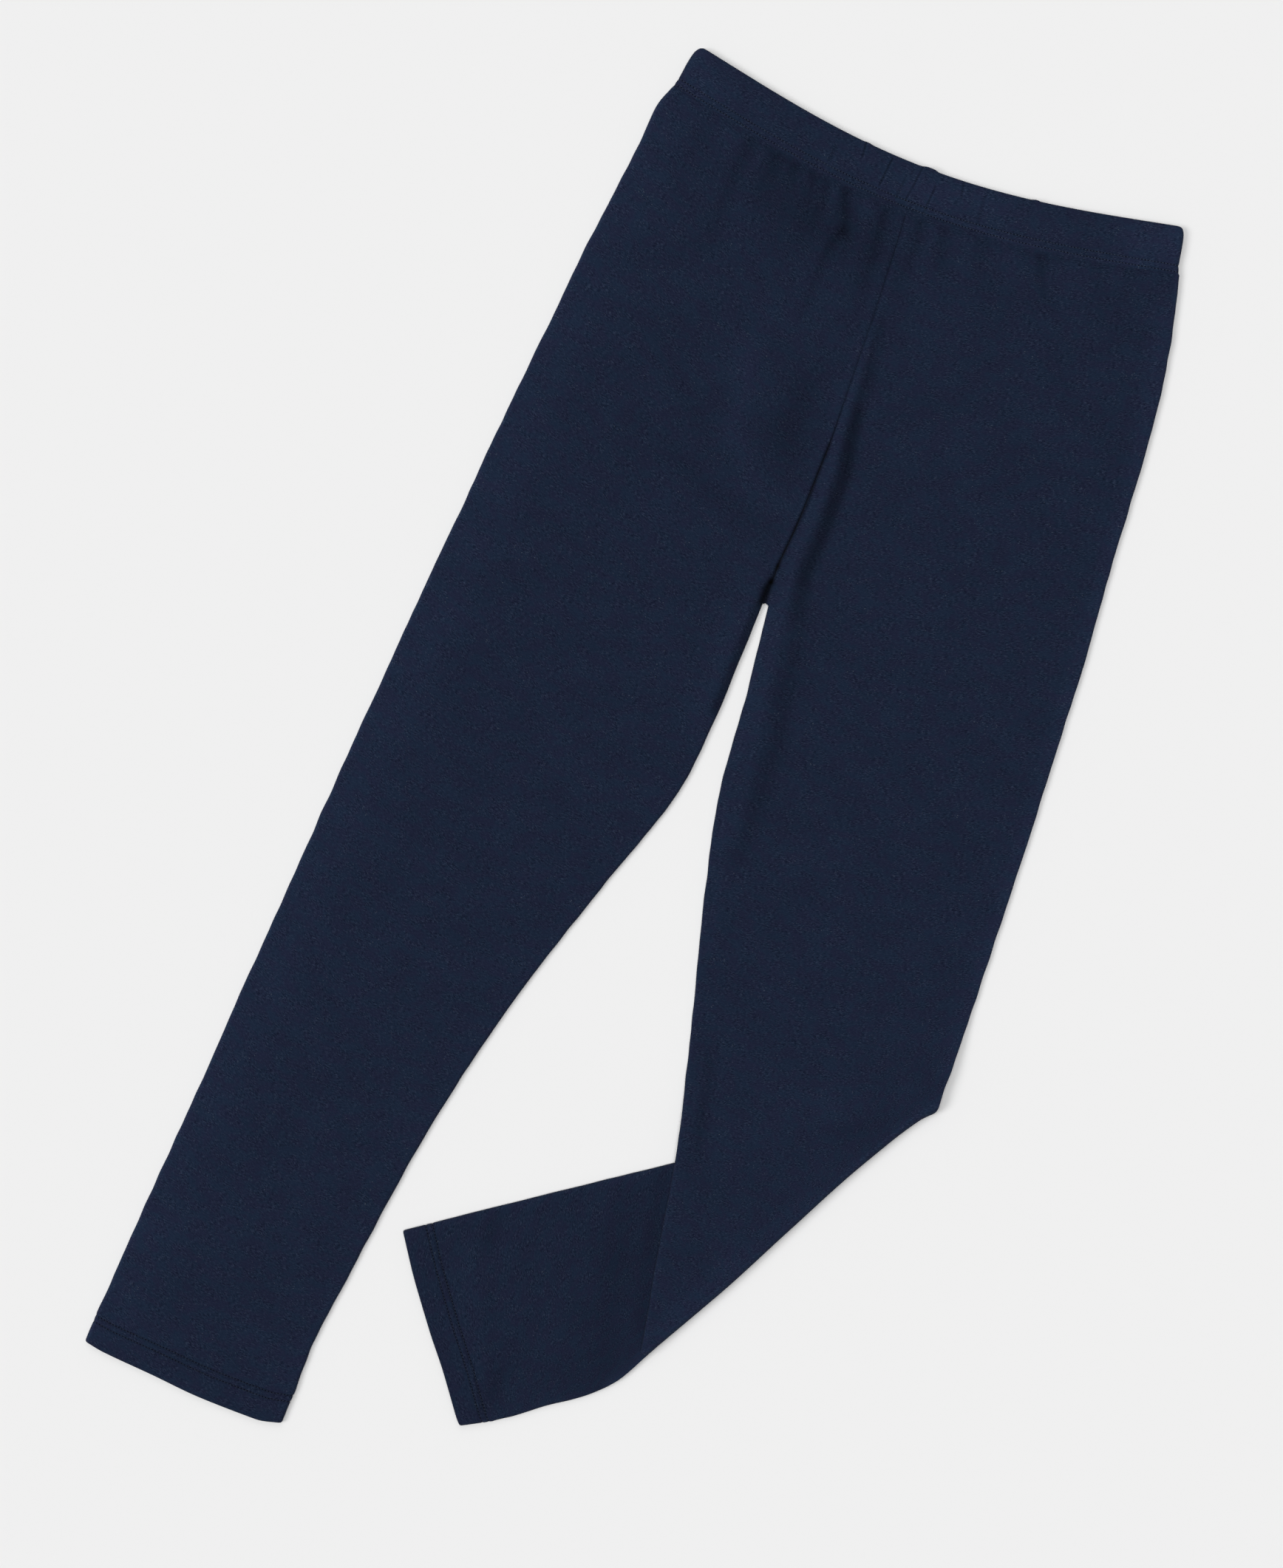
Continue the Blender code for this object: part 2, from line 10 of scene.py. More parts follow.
import bpy
import numpy as np
from mathutils import Matrix, Vector, noise


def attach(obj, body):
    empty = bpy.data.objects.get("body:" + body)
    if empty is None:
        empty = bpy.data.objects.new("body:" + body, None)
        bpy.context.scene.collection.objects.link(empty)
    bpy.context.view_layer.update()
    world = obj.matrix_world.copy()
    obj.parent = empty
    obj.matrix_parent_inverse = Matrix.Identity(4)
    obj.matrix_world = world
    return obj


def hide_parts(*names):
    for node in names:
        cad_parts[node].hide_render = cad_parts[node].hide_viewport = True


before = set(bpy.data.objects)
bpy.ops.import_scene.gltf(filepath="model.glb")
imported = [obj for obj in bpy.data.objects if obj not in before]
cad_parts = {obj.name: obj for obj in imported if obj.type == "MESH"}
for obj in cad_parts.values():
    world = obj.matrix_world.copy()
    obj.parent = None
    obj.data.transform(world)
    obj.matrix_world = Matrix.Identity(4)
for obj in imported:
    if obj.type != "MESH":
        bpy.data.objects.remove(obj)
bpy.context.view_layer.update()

MM = 0.001

# The middle of the laid garment, as seen from above, which is the frame's origin
MIDDLE = np.array([-10.92, -331.44])

# The camera looks straight down on the garment's front, turned so that it lies slantwise in the
# picture. Its long side is the height of what the picture shows.
PICTURE_MIDDLE = (-25.82, -326.99)
PICTURE_LONG_SIDE = 721.5
CAMERA_TURN = 20.47
LENS = 100.0
SENSOR = 36.0
CLOTH_HEIGHT = 2.5
FARTHEST_SEEN = 20.0
FLOOR_SIZE = 30.0

# The lamps: where each shines from, as degrees round from the picture's right and above the
# surface, the width of its light in degrees, and how strong it is
LAMPS = (
    # name, round, above, width, strength
    ("key", 186.0, 48.0, 28.0, 1.35),
    ("weak", 95.0, 50.0, 40.0, 0.42),
    ("overhead", 0.0, 90.0, 32.0, 1.6),
)
SKY = 0.13

# The walls of the cloth, the least room inside a flattened tube, and the gap between the legs at
# the centre seam
WALL = 0.8
BAND_WALL = 1.7
HEM_WALL = 1.5
LEAST_HOLLOW = 0.2
SEAM_GAP = 0.01

# On the back the centre seam lies a little to one side, and above the crotch the front layers part.
# Both fade out with the distance from the seam, over these lengths.
BACK_SEAM_ASIDE = 1.2
BACK_SEAM_REACH = 20.0
PARTED_REACH = 7.0

# Spans and steps of the meshes, with coarser ones for the inside. CROWDING puts the spans of the
# front closer to the inseam. A row that is turned by less than LEAST_TURN degrees lies flat.
ROW_STEP = 2.0
GATHERED_ROW_STEP = 1.4
FRONT_SPANS = 96
BACK_SPANS = 56
EDGE_SPANS = 8
CROWDING = 1.15
INNER_FRONT_SPANS = 30
INNER_BACK_SPANS = 24
INNER_EDGE_SPANS = 4
INNER_ROW_SKIP = 3
FOLD_ROWS = 14
LEAST_TURN = 0.01
SHARP_ANGLE = 60.0
SAME_MARK = 1e-9

# The waist: how deep its curve runs, and how blunt that curve is
WAIST_SAG = 15.8
WAIST_BLUNTNESS = 1.03

# The waistband's rows. They lie close together round its edge and at its two seams, and its spans
# are close together where the casing is tucked.
BAND_DEPTH = 21.5
BAND_STEP = 1.1
BAND_EDGE_TURNS = (5, 22.5, 45, 67.5)
BAND_SEAMS = (17.3, 20.2)
BAND_SEAM_STEPS = (-0.75, -0.5, -0.28, 0.0, 0.28, 0.5, 0.75)
BETWEEN_SEAMS = 18.75
ABOVE_FOOT = 21.2
BAND_SPAN = 1.0
TUCKED_FROM = -38.0
TUCKED_TO = 20.0
TUCK_STEP = 0.35

# How the casing's ripples and tucks fade beside the band's edge and foot, how far down a bump in
# the edge reaches, how many times a tuck's two lips are wider and lower than its crease, and how
# much painted shade darkens the tuck as it sinks
RIPPLE_START = 3.0
RIPPLE_END = 2.0
TUCK_START = 1.5
BUMP_DEPTH = 5.0
LIPS_WIDER = 2.4
LIPS_LOWER = 3
TUCK_TONE = 1.25
TUCK_TONE_SPAN = (-0.5, 0.1)

# The fold below the left knee. It runs slantwise, so the leg's outer side meets it further down on
# the lower layer than on the upper one, and its inner end slides out late in the bend. The upper leg
# comes down from it over the ramp.
FOLD_THICK = 3.2
FOLD_GAP = 0.4
FOLD_OUTER = (153.9, -414.8)
FOLD_OUTER_BELOW = (149.0, -423.6)
FOLD_INNER = (65.1, -571.5)
FOLD_INNER_BELOW = (66.0, -577.1)
BEND_SLIDES_FROM = 0.75
RAMP_LENGTH = 42.0
RAMP_CLEAR = 6.0

# Stitches: their pitch, length and spread of sizes, the thread's thickness and how much of it
# stands proud, the bead that is stretched into one, the groove that they pull into the cloth, and
# the needle holes between them
STITCH_PITCH = 1.5
STITCH_LENGTH = 1.05
STITCH_SIZES = (0.85, 1.1)
STITCH_SEEDS = {"right": 2, "left": 5, "waist": 8}
THREAD = 0.3
THREAD_PROUD = 0.3
BEAD = {"Segments": 6, "Rings": 4, "Radius": 0.5}
GROOVE_WIDTH = 0.5
GROOVE_DEPTH = 0.3
HOLE_LENGTH = 0.7
HOLE_WIDTH = 0.55

# How the folds of the cloth fade beside a rounded edge, below the band and towards their own ends
EDGE_FADE = 6.0
GATHERS_START = 4.0
GATHER_FADE = 0.85
FOLD_END = 0.12

# How much painted shade darkens the cloth for each millimetre that it sinks and in the grooves
# along the stitches, how much painted light brightens it along its edges, and the tones of a rounded
# edge, painted lighter, and of the inside
CAVITY_TONE = 0.16
SEAM_TONE = -0.24
RIM = 0.2
RIM_WIDTH = 1.7
ROUNDED_TONE = 1.3
LINING_TONE = 0.6

# Small unevenness of the cloth and of the outline: its height, the length over which it changes,
# and its layer of the noise. The inseams waver from some rows below the crotch.
UNEVEN = 0.12
UNEVEN_LENGTH = 16.0
UNEVEN_LAYER = 0.0
WAVER = 0.3
WAVER_LENGTH = 9.0
OUTER_WAVER_LAYER = 3.0
INNER_WAVER_LAYER = 7.0
WAVER_FROM_ROW = 5
WAVER_ROWS = 10
RIPPLES = (
    # rise, length round the band, length down it, layer
    (0.16, 3.6, 16.0, 11.0),
    (0.12, 9.0, 30.0, 5.0),
)

# Colours, in linear light
JERSEY_COLOURS = {
    "Green navy": (0.0085, 0.0159, 0.0349, 1),
    "Red navy": (0.0104, 0.0136, 0.0327, 1),
    "Pit": (0.0042, 0.0069, 0.0182, 1),
    "Fibre": (0.0240, 0.0340, 0.0625, 1),
    "Lint": (0.0520, 0.0640, 0.0860, 1),
}
# Painted shade in the needle holes
HOLE = (0.0012, 0.0018, 0.0055, 1)
BAND_THREAD = (0.0210, 0.0300, 0.0540, 1)
HEM_THREAD = (0.0085, 0.0130, 0.0270, 1)
FLOOR = (0.82, 0.82, 0.82, 1)

# Finishes, on the shader's own sockets
JERSEY_FINISH = {"Specular IOR Level": 0.04, "Sheen Weight": 0.02, "Sheen Roughness": 0.5}
THREAD_FINISH = {"Roughness": 0.6, "Specular IOR Level": 0.3}
FLOOR_FINISH = {"Roughness": 1.0, "Specular IOR Level": 0.0}
BUMP_STRENGTH = 0.6
BUMP_DEEP = 0.00012

# The jersey's patterns: their size round and along the leg, their layer of the noise and its detail
PATCHES = (9.0, 6.0, 6.0, 4.0)
CROWDS = (7.0, 5.0, 12.0, 2.0)
SPECKS = (0.8, 0.5, 30.0)
LINTY_PLACES = (11.0, 9.0, 34.0)
MOTTLES = (26.0, 18.0, 50.0, 2.0)
HOLE_DEPTHS = (2.6, 2.0, 0.0, 1.0)
DETAIL_ROUGHNESS = 0.6

# The values of the noise at which each pattern starts and is full
PATCH_VALUES = (0.4, 0.6)
CROWD_VALUES = (0.35, 0.65)
FIBRE_VALUES = (0.54, 0.76)
PIT_VALUES = (0.48, 0.28)
SPECK_VALUES = (0.74, 0.82)
LINTY_VALUES = (0.55, 0.7)
MOTTLE_VALUES = (0.35, 0.65)
ROUGH_VALUES = (0.2, 0.8)
HOLE_VALUES = (0.3, 0.6)

# What some patterns run between: how crowded the fibres are, how light the mottles, how rough the
# cloth, how dark the painted shade in the holes is, and where a hole's edge lies from its middle
LEAST_CROWDED = 0.3
MOTTLE_TONES = (0.965, 1.035)
ROUGHNESSES = (0.85, 0.98)
SHALLOWEST_HOLE = 0.55
HOLE_EDGE = (0.7, 1.25)

# The fibres lie in short dashes, of this length and width, at two slants, each in its own layer
DASH = (1.7, 0.5)
DASH_DETAIL = 1.0
SLANTS = ((-0.55, 0.0), (0.05, 20.0))

# The knitted loops: half a wale, a course, and how steeply and how strongly the loops lean
HALF_WALE = 0.36
COURSE = 0.5
LOOP_LEAN = 1.6
LOOP_ROUND = 0.3
LOOP_HEIGHT = 0.3

# Both legs above the crotch, from the foot of the band down. Rolled says how far the seam's side of
# a layer is rounded like an edge, and parted how far the front layer lies aside from the seam.
TORSO = (
    # side_down, sag, right_x, left_x, seam_x, thick, rolled, right_parted, left_parted
    (BAND_DEPTH, WAIST_SAG, -124.6, 124.3, -3.6, 4.3, 0.05, 0.0, 0.0),
    (24.0, 15.5, -125.6, 125.0, -3.5, 4.2, 0.05, 0.0, 0.0),
    (32.0, 14.5, -128.5, 126.9, -3.1, 4.1, 0.05, 0.0, 0.0),
    (50.0, 11.0, -129.8, 131.1, -2.4, 4.0, 0.05, 0.0, 0.0),
    (75.0, 6.5, -132.7, 135.4, -1.5, 3.8, 0.08, 0.0, 0.0),
    (107.0, 2.0, -136.6, 138.7, -0.6, 3.6, 0.12, 0.0, 0.0),
    (130.0, 0.4, -138.7, 140.1, 0.3, 3.5, 0.3, 0.0, 0.0),
    (148.0, 0.0, -140.2, 141.2, 0.7, 3.5, 0.6, 0.0, 0.0),
    (165.0, 0.0, -141.9, 142.5, 0.3, 3.4, 0.75, 0.0, 0.0),
    (190.0, 0.0, -144.2, 144.6, -0.4, 3.4, 0.85, 0.0, 0.0),
    (211.0, 0.0, -146.0, 146.3, -2.0, 3.4, 0.92, 0.0, 0.0),
    (220.5, 0.0, -146.6, 146.7, -1.8, 3.4, 0.95, 2.3, 1.4),
    (229.1, 0.0, -147.2, 147.0, -1.3, 3.4, 1.0, 2.9, 1.4),
)

# How far three edges run outside the straight line between their ends, by the share of the way
# from the leg's outer side to its inseam
RIGHT_HEM_EDGE = (
    # share, outside
    (0.0, 0.0),
    (0.1, 1.4),
    (0.35, 2.4),
    (0.6, 3.6),
    (0.88, 2.9),
    (1.0, 0.0),
)
LEFT_HEM_EDGE = (
    # share, outside
    (0.0, 0.0),
    (0.28, 1.2),
    (0.5, 1.1),
    (0.74, 0.3),
    (0.95, 0.4),
    (1.0, 0.0),
)
FOLD_EDGE = (
    # share, outside
    (0.0, 0.0),
    (0.05, -2.2),
    (0.14, -3.2),
    (0.26, -3.4),
    (0.5, -1.9),
    (0.76, -0.1),
    (1.0, 0.0),
)

# The legs below the crotch, by sections from the outer edge to the inseam. The last two columns
# say how fully a section follows the curve of the fold and of the hem.
RIGHT_LEG = (
    # outer_x, outer_y, inner_x, inner_y, thick, fold, hem
    (-147.2, -229.8, -2.6, -229.8, 3.4, 0.0, 0.0),
    (-148.1, -240.0, -2.9, -240.0, 3.4, 0.0, 0.0),
    (-151.8, -285.0, -4.4, -285.0, 3.3, 0.0, 0.0),
    (-153.9, -315.0, -6.9, -315.0, 3.2, 0.0, 0.0),
    (-154.9, -330.0, -10.0, -330.0, 3.2, 0.0, 0.0),
    (-156.2, -345.0, -14.7, -345.0, 3.2, 0.0, 0.0),
    (-158.2, -375.0, -25.2, -375.0, 3.2, 0.0, 0.0),
    (-162.0, -435.0, -44.3, -435.0, 3.2, 0.0, 0.0),
    (-165.0, -480.0, -55.7, -480.0, 3.2, 0.0, 0.0),
    (-168.1, -532.0, -65.6, -532.0, 3.2, 0.0, 0.0),
    (-171.9, -585.0, -72.7, -585.0, 3.2, 0.0, 0.1),
    (-174.3, -624.0, -77.6, -625.5, 3.3, 0.0, 0.5),
    (-175.5, -642.0, -77.5, -645.0, 3.4, 0.0, 0.8),
)
RIGHT_FOOT = (-176.0, -656.7, -78.3, -660.4)
LEFT_LEG = (
    # outer_x, outer_y, inner_x, inner_y, thick, fold, hem
    (147.0, -229.8, 0.2, -229.8, 3.4, 0.0, 0.0),
    (147.6, -240.0, 1.4, -240.0, 3.4, 0.0, 0.0),
    (148.8, -262.0, 4.9, -270.0, 3.4, 0.0, 0.0),
    (149.9, -285.0, 8.5, -313.0, 3.3, 0.0, 0.0),
    (151.1, -315.0, 19.8, -367.0, 3.2, 0.0, 0.0),
    (152.5, -352.0, 34.7, -423.5, 3.2, 0.0, 0.0),
    (153.4, -378.0, 48.2, -479.0, 3.2, 0.0, 0.0),
    (153.7, -396.0, 56.6, -527.0, 3.2, 0.25, 0.0),
    (153.8, -407.0, 62.2, -556.0, 3.2, 0.6, 0.0),
    (*FOLD_OUTER, *FOLD_INNER, FOLD_THICK, 1.0, 0.0),
)
LEFT_LOWER_LEG = (
    # outer_x, outer_y, inner_x, inner_y, thick, fold, hem
    (*FOLD_OUTER_BELOW, *FOLD_INNER_BELOW, FOLD_THICK, 1.0, 0.0),
    (137.0, -429.0, 63.3, -582.5, 3.2, 0.7, 0.0),
    (125.0, -436.0, 60.3, -587.8, 3.2, 0.5, 0.0),
    (107.0, -447.5, 57.2, -591.5, 3.2, 0.3, 0.0),
    (70.0, -471.2, 48.8, -599.6, 3.2, 0.0, 0.0),
    (30.0, -498.2, 33.0, -610.6, 3.2, 0.0, 0.0),
    (-6.0, -522.8, 19.5, -621.0, 3.2, 0.0, 0.2),
    (-30.0, -539.2, 13.4, -625.0, 3.3, 0.0, 0.6),
    (-43.9, -548.9, 12.4, -625.8, 3.4, 0.0, 0.8),
)
LEFT_FOOT = (-57.0, -557.9, -0.9, -633.0)

# The edge of the hidden part of the lower leg, which the upper leg lies over
FOLDED_EDGE = ((154.4, -421.0), (107.0, -447.0), (70.0, -471.0), (30.0, -498.1))

# The turned-up hem, from its top to its foot: how far along, the height of the flattened cloth,
# how far the stitches pull it in, and how far its edge is rounded off
HEM = (
    # share, thick, groove, rounding
    (0.0, 3.4, 0.0, 0.0),
    (0.05, 3.45, 0.0, 0.0),
    (0.08, 3.5, 0.35, 0.0),
    (0.11, 3.55, 1.0, 0.0),
    (0.14, 3.6, 0.35, 0.0),
    (0.2, 3.75, 0.0, 0.0),
    (0.26, 3.75, 0.05, 0.0),
    (0.28, 3.75, 0.35, 0.0),
    (0.305, 3.75, 1.0, 0.0),
    (0.33, 3.75, 0.35, 0.0),
    (0.36, 3.75, 0.0, 0.0),
    (0.48, 3.75, 0.0, 0.0),
    (0.6, 3.7, 0.0, 0.0),
    (0.72, 3.7, 0.0, 0.0),
    (0.84, 3.65, 0.0, 0.0),
    (0.946, 3.6, 0.0, 0.0),
    (0.973, 3.6, 0.0, 0.1),
    (0.993, 3.6, 0.0, 0.375),
    (1.0, 3.6, 0.0, 0.7),
)
HEM_SEAMS = (0.11, 0.305)
HEM_DEPTH = 15.0

# The waistband's sides and height, from the waist's edge to its foot
WAISTBAND = (
    # down, right_x, left_x, thick
    (0.0, -118.4, 117.3, 4.5),
    (0.8, -119.4, 118.3, 4.6),
    (3.0, -120.8, 119.5, 4.8),
    (9.0, -122.2, 120.9, 4.9),
    (15.5, -123.1, 122.0, 4.7),
    (18.8, -123.8, 122.9, 4.65),
    (BAND_DEPTH, -124.6, 124.3, 4.3),
)

# Sharp tucks across the band. A tuck is a short crease in the casing.
TUCKS = (
    # top_x, top_y, bottom_x, bottom_y, half_width, rise
    (-18.2, -17.2, -19.7, -31.2, 0.5, -0.55),
    (-32.1, -14.6, -31.4, -21.5, 0.5, -0.45),
    (4.9, -21.5, 3.9, -35.6, 0.5, -0.45),
    (16.4, -16.0, 17.9, -24.0, 0.6, -0.3),
    (-3.6, -15.5, -5.9, -33.0, 0.45, -0.5),
    (-44.5, -20.5, -45.5, -28.5, 0.9, -0.3),
    (-9.5, -24.0, -10.4, -33.4, 0.7, -0.3),
    (27.5, -19.0, 29.0, -31.5, 0.8, -0.3),
)

# Where the seam allowances inside push out the waist's edge
EDGE_BUMPS = (
    # x, half_width, out
    (-0.2, 3.4, 0.75),
    (50.5, 1.3, 0.45),
    (-31.0, 1.6, 0.25),
)

# Gathers that the elastic draws into the cloth below it. Each fades out down its route.
GATHERS = (
    # name, route, half_width, rise
    ("hip hollow", ((-80.5, -30), (-82, -46), (-83, -62), (-83, -86)), 3.6, -1.1),
    ("hip ridge", ((-75.5, -32), (-76.5, -62)), 3.2, 0.6),
    ("short hollow 1", ((-68, -33), (-67, -50)), 3.6, -0.9),
    ("short ridge 1", ((-63, -34), (-62, -52)), 2.4, 0.5),
    ("short hollow 2", ((-58.5, -34), (-57, -46)), 2.8, -0.8),
    ("short ridge 2", ((-53.5, -35), (-52, -54)), 2.6, 0.5),
    ("short hollow 3", ((-48.5, -35), (-47, -47)), 2.6, -1.0),
    ("short hollow 4", ((-42.5, -37), (-40.5, -46), (-43, -62)), 2.0, -0.9),
    ("front ridge 1", ((-37, -39), (-35.5, -72)), 2.6, 0.7),
    ("deep hollow", ((-33.5, -36), (-31.5, -41), (-28.5, -49), (-27, -55), (-29.5, -62),
                     (-31, -70), (-31, -86), (-31, -103)), 2.3, -1.7),
    ("branch of the deep hollow", ((-27, -56), (-21.5, -62)), 2.2, -0.8),
    ("front ridge 2", ((-20.5, -38), (-18.5, -60), (-19, -88)), 3.4, 0.8),
    ("seam hollow", ((-11.8, -41), (-11, -52), (-10.3, -61), (-9.8, -78)), 2.2, -1.3),
    ("left hollow 1", ((4.8, -38), (7, -49), (6, -62), (6.5, -76)), 2.2, -1.0),
    ("left ridge 1", ((11.5, -39), (13.5, -66)), 3.2, 0.6),
    ("left hollow 2", ((16.8, -37), (18.5, -46), (22.5, -64)), 3.0, -0.9),
    ("left ridge 2", ((28.5, -37), (31, -60)), 3.6, 0.5),
    ("left hollow 3", ((35, -37), (38, -48), (44, -60)), 4.0, -0.7),
    ("left ridge 3", ((49.5, -36), (54, -60)), 3.4, 0.4),
    ("left hollow 4", ((62, -34), (66.5, -46), (71, -52), (79, -58.5)), 2.4, -1.2),
    ("left ridge 4", ((76, -31), (87, -54)), 4.2, 0.5),
    ("left hollow 5", ((88, -28), (96, -46)), 4.5, -0.6),
    ("left ridge 5", ((96, -27), (101, -42)), 4.0, 0.4),
    ("left hollow 6", ((103, -26), (106, -42)), 4.0, -0.5),
    ("side hollow right", ((-102, -28), (-105, -52)), 5.0, -0.5),
    ("side ridge right", ((-92, -29), (-94, -56)), 5.0, 0.4),
)

# Longer soft folds on the front. Each fades out at both ends of its route.
FRONT_FOLDS = (
    # name, route, half_width, rise
    ("seam ridge right", ((-6.2, -41), (-4.7, -65), (-3.4, -86), (-2.8, -118), (-2.2, -142)), 1.5, 0.3),
    ("seam ridge left", ((-1.2, -42), (0.2, -65), (1.2, -86), (2.0, -112), (2.6, -140)), 1.8, 0.4),
    ("soft ridge", ((-46, -96), (-47, -128), (-41, -160), (-28, -176), (-8, -180)), 6.0, 0.8),
    ("hollow beside the crease", ((-19, -126), (-20, -150), (-15, -170)), 9.0, -0.8),
    ("slanting hollow", ((-80, -175), (-60, -182), (-44, -188), (-20, -195), (-8, -195)), 5.5, -0.8),
    ("thigh hollow", ((-76, -148), (-60, -156), (-47, -168)), 7.0, -0.5),
    ("rolled inseam", ((2.5, -96), (3.6, -125), (5, -150), (6, -175), (4.5, -205), (7, -228),
                       (12, -262), (18, -300), (23, -335)), 3.6, 0.8),
    ("long hollow", ((4, -90), (5.5, -103), (8, -115), (8, -130), (9.5, -146), (12.5, -160),
                     (12.8, -190), (11.5, -210), (15, -228)), 3.4, -1.8),
    ("end of the long hollow", ((12, -206), (20, -242), (21, -262), (26.5, -285), (28, -310),
                                (28.5, -342)), 4.8, -0.8),
    ("right inseam roll", ((-9, -226), (-11, -262), (-13, -300)), 6.0, 0.5),
    ("left shin hollow", ((48.5, -430), (52, -447), (54.5, -460), (59, -478)), 2.8, -0.9),
    ("hollow along the fold", ((138, -430), (124, -441), (108, -449)), 5.0, -0.6),
    ("ridge over the folded edge", ((148, -414), (104, -441), (64, -468)), 9.0, 0.4),
)

# Soft folds on the back of the lower left leg, which faces up
LOWER_FOLDS = (
    # name, route, half_width, rise
    ("hollow beside the inseam", ((36, -508), (44, -548), (50, -584)), 6.0, -0.5),
    ("hem hollow", ((-16, -531), (-17, -552)), 4.0, -0.5),
    ("hem ridge", ((-28, -552), (-12, -577)), 5.0, 0.4),
    ("corner hollow", ((10, -600), (10, -620)), 5.0, -0.6),
)

# Shallow hollows in the side that lies on the surface
UNDER_GATHERS = (
    # name, route, half_width, rise
    ("back gather 1", ((-92, -27), (-95, -58)), 3.5, 0.6),
    ("back gather 2", ((-70, -27), (-71, -66)), 3.0, 0.7),
    ("back gather 3", ((-51, -28), (-50, -52)), 3.5, 0.6),
    ("back gather 4", ((-33, -29), (-31, -74)), 3.2, 0.7),
    ("back gather 5", ((-15, -29), (-13, -60)), 3.0, 0.6),
    ("back gather 6", ((12, -29), (14, -70)), 3.2, 0.7),
    ("back gather 7", ((31, -29), (36, -58)), 3.8, 0.6),
    ("back gather 8", ((55, -28), (61, -69)), 3.0, 0.7),
    ("back gather 9", ((79, -27), (86, -52)), 3.6, 0.6),
    ("back gather 10", ((101, -26), (106, -47)), 3.2, 0.5),
)
UNDER_FOLDS = (
    # name, route, half_width, rise
    ("seat hollow right", ((-30, -150), (-52, -205), (-60, -250)), 9.0, 0.5),
    ("seat hollow left", ((24, -142), (42, -196), (60, -246)), 8.0, 0.5),
    ("back of the right knee", ((-132, -372), (-96, -380), (-52, -366)), 6.0, 0.45),
    ("below the right knee", ((-128, -402), (-88, -398)), 5.0, 0.35),
    ("right calf", ((-110, -455), (-104, -530)), 8.0, 0.35),
    ("back of the left knee", ((60, -380), (104, -368)), 6.0, 0.45),
    ("turned shin", ((36, -520), (18, -578)), 7.0, 0.35),
)

# Broad patches and strokes that make the cloth lighter or darker. Most are painted light and shade:
# painted shade in the hollows, the crease, the crotch, along the right inseam and under the band's
# foot, and painted light along the sides, the fold and the left inseam. Below the band the cloth is
# only made darker, and along the centre seam a dark line is drawn.
FRONT_TONES = (
    # name, route, half_width, change
    ("right side", ((-124, -40), (-134, -150), (-146, -330), (-160, -500), (-168, -640)), 16.0, 0.14),
    ("left side", ((124, -40), (137, -110), (146, -240), (151, -330), (152, -400)), 5.0, 0.14),
    ("along the fold", ((152, -420), (118, -472), (90, -520), (68, -562)), 5.0, 0.12),
    ("below the band", ((-62, -42), (-42, -54), (-14, -62)), 17.0, -0.2),
    ("long hollow", ((8, -132), (12.5, -160), (12.8, -190), (11.5, -212)), 3.2, -0.22),
    ("foot of the long hollow", ((13, -218), (20, -250), (26.5, -288), (28.5, -340)), 4.5, -0.08),
    ("under the band's foot", ((-105, -26), (-60, -36), (0, -39.5), (60, -36), (110, -25)), 1.6, -0.08),
    ("beside the crease", ((-16, -124), (-19, -148), (-12, -172)), 9.0, -0.09),
    ("crease", ((0.6, -150), (0.3, -165), (0.5, -180), (-0.4, -190), (-2.1, -212)), 0.95, -0.62),
    ("top of the crotch", ((-2.2, -211), (-2.4, -219)), 1.3, -0.5),
    ("crotch", ((-2.7, -219), (-2.6, -229)), 2.0, -0.78),
    ("seam", ((-3.5, -40), (-2.2, -65), (-1.0, -88), (-0.4, -116), (0.6, -148)), 0.42, -0.4),
    ("inseam of the right leg", ((-4.2, -222), (-4.8, -240), (-5.4, -262), (-6.2, -284)), 1.9, -0.42),
    ("inseam of the left leg", ((1.5, -232), (6, -262), (10.5, -292), (13, -318), (21, -350),
                                (31, -388)), 2.6, 0.12),
)
# On the lower leg: painted shade in its hollows and beside the overlap, painted light along the fold, and
# the whole turned part a little darker
LOWER_TONES = (
    # name, route, half_width, change
    ("turned cloth", ((60, -520), (20, -560), (-40, -600)), 400.0, -0.03),
    ("beside the overlap", ((46, -490), (54, -530), (61, -560)), 5.0, -0.15),
    ("near the overlap", ((38, -520), (44, -560), (46, -585)), 14.0, -0.07),
    ("light along the fold", ((67, -572), (63, -583), (57, -591)), 3.2, 0.3),
    ("corner of the hem", ((5.5, -605), (6, -621)), 5.0, -0.07),
    ("upper streak", ((-20.6, -533), (-18, -548)), 3.0, -0.07),
)
# On the band: a painted shadow along its foot and painted light on the raised channel between the
# stitches; the band, its corners and its centre front are made lighter
BAND_TONES = (
    # name, route, half_width, change
    ("band", ((-118, -10), (0, -24), (118, -10)), 400.0, 0.05),
    ("right corner", ((-121, -5), (-112, -14)), 13.0, 0.16),
    ("centre front", ((-6, -25), (12, -26), (34, -24)), 9.0, 0.13),
    ("left corner", ((118, -5), (106, -14)), 13.0, 0.24),
    ("foot", ((-124, -21.3), (-90, -30.1), (-45, -36.5), (0, -37.2), (45, -36.5), (90, -29.6),
              (124, -21.3)), 0.9, -0.22),
    ("between the stitches", ((2, -34.6), (45, -33.6), (85, -28.0), (112, -21.0)), 0.7, 0.16),
)


def put_in_scene(name, data):
    thing = bpy.data.objects.new(name, data)
    bpy.context.scene.collection.objects.link(thing)
    return thing


def smooth(share):
    """0 to 1 with soft ends, as share goes from 0 to 1."""
    share = np.clip(share, 0, 1)
    return share * share * (3 - 2 * share)


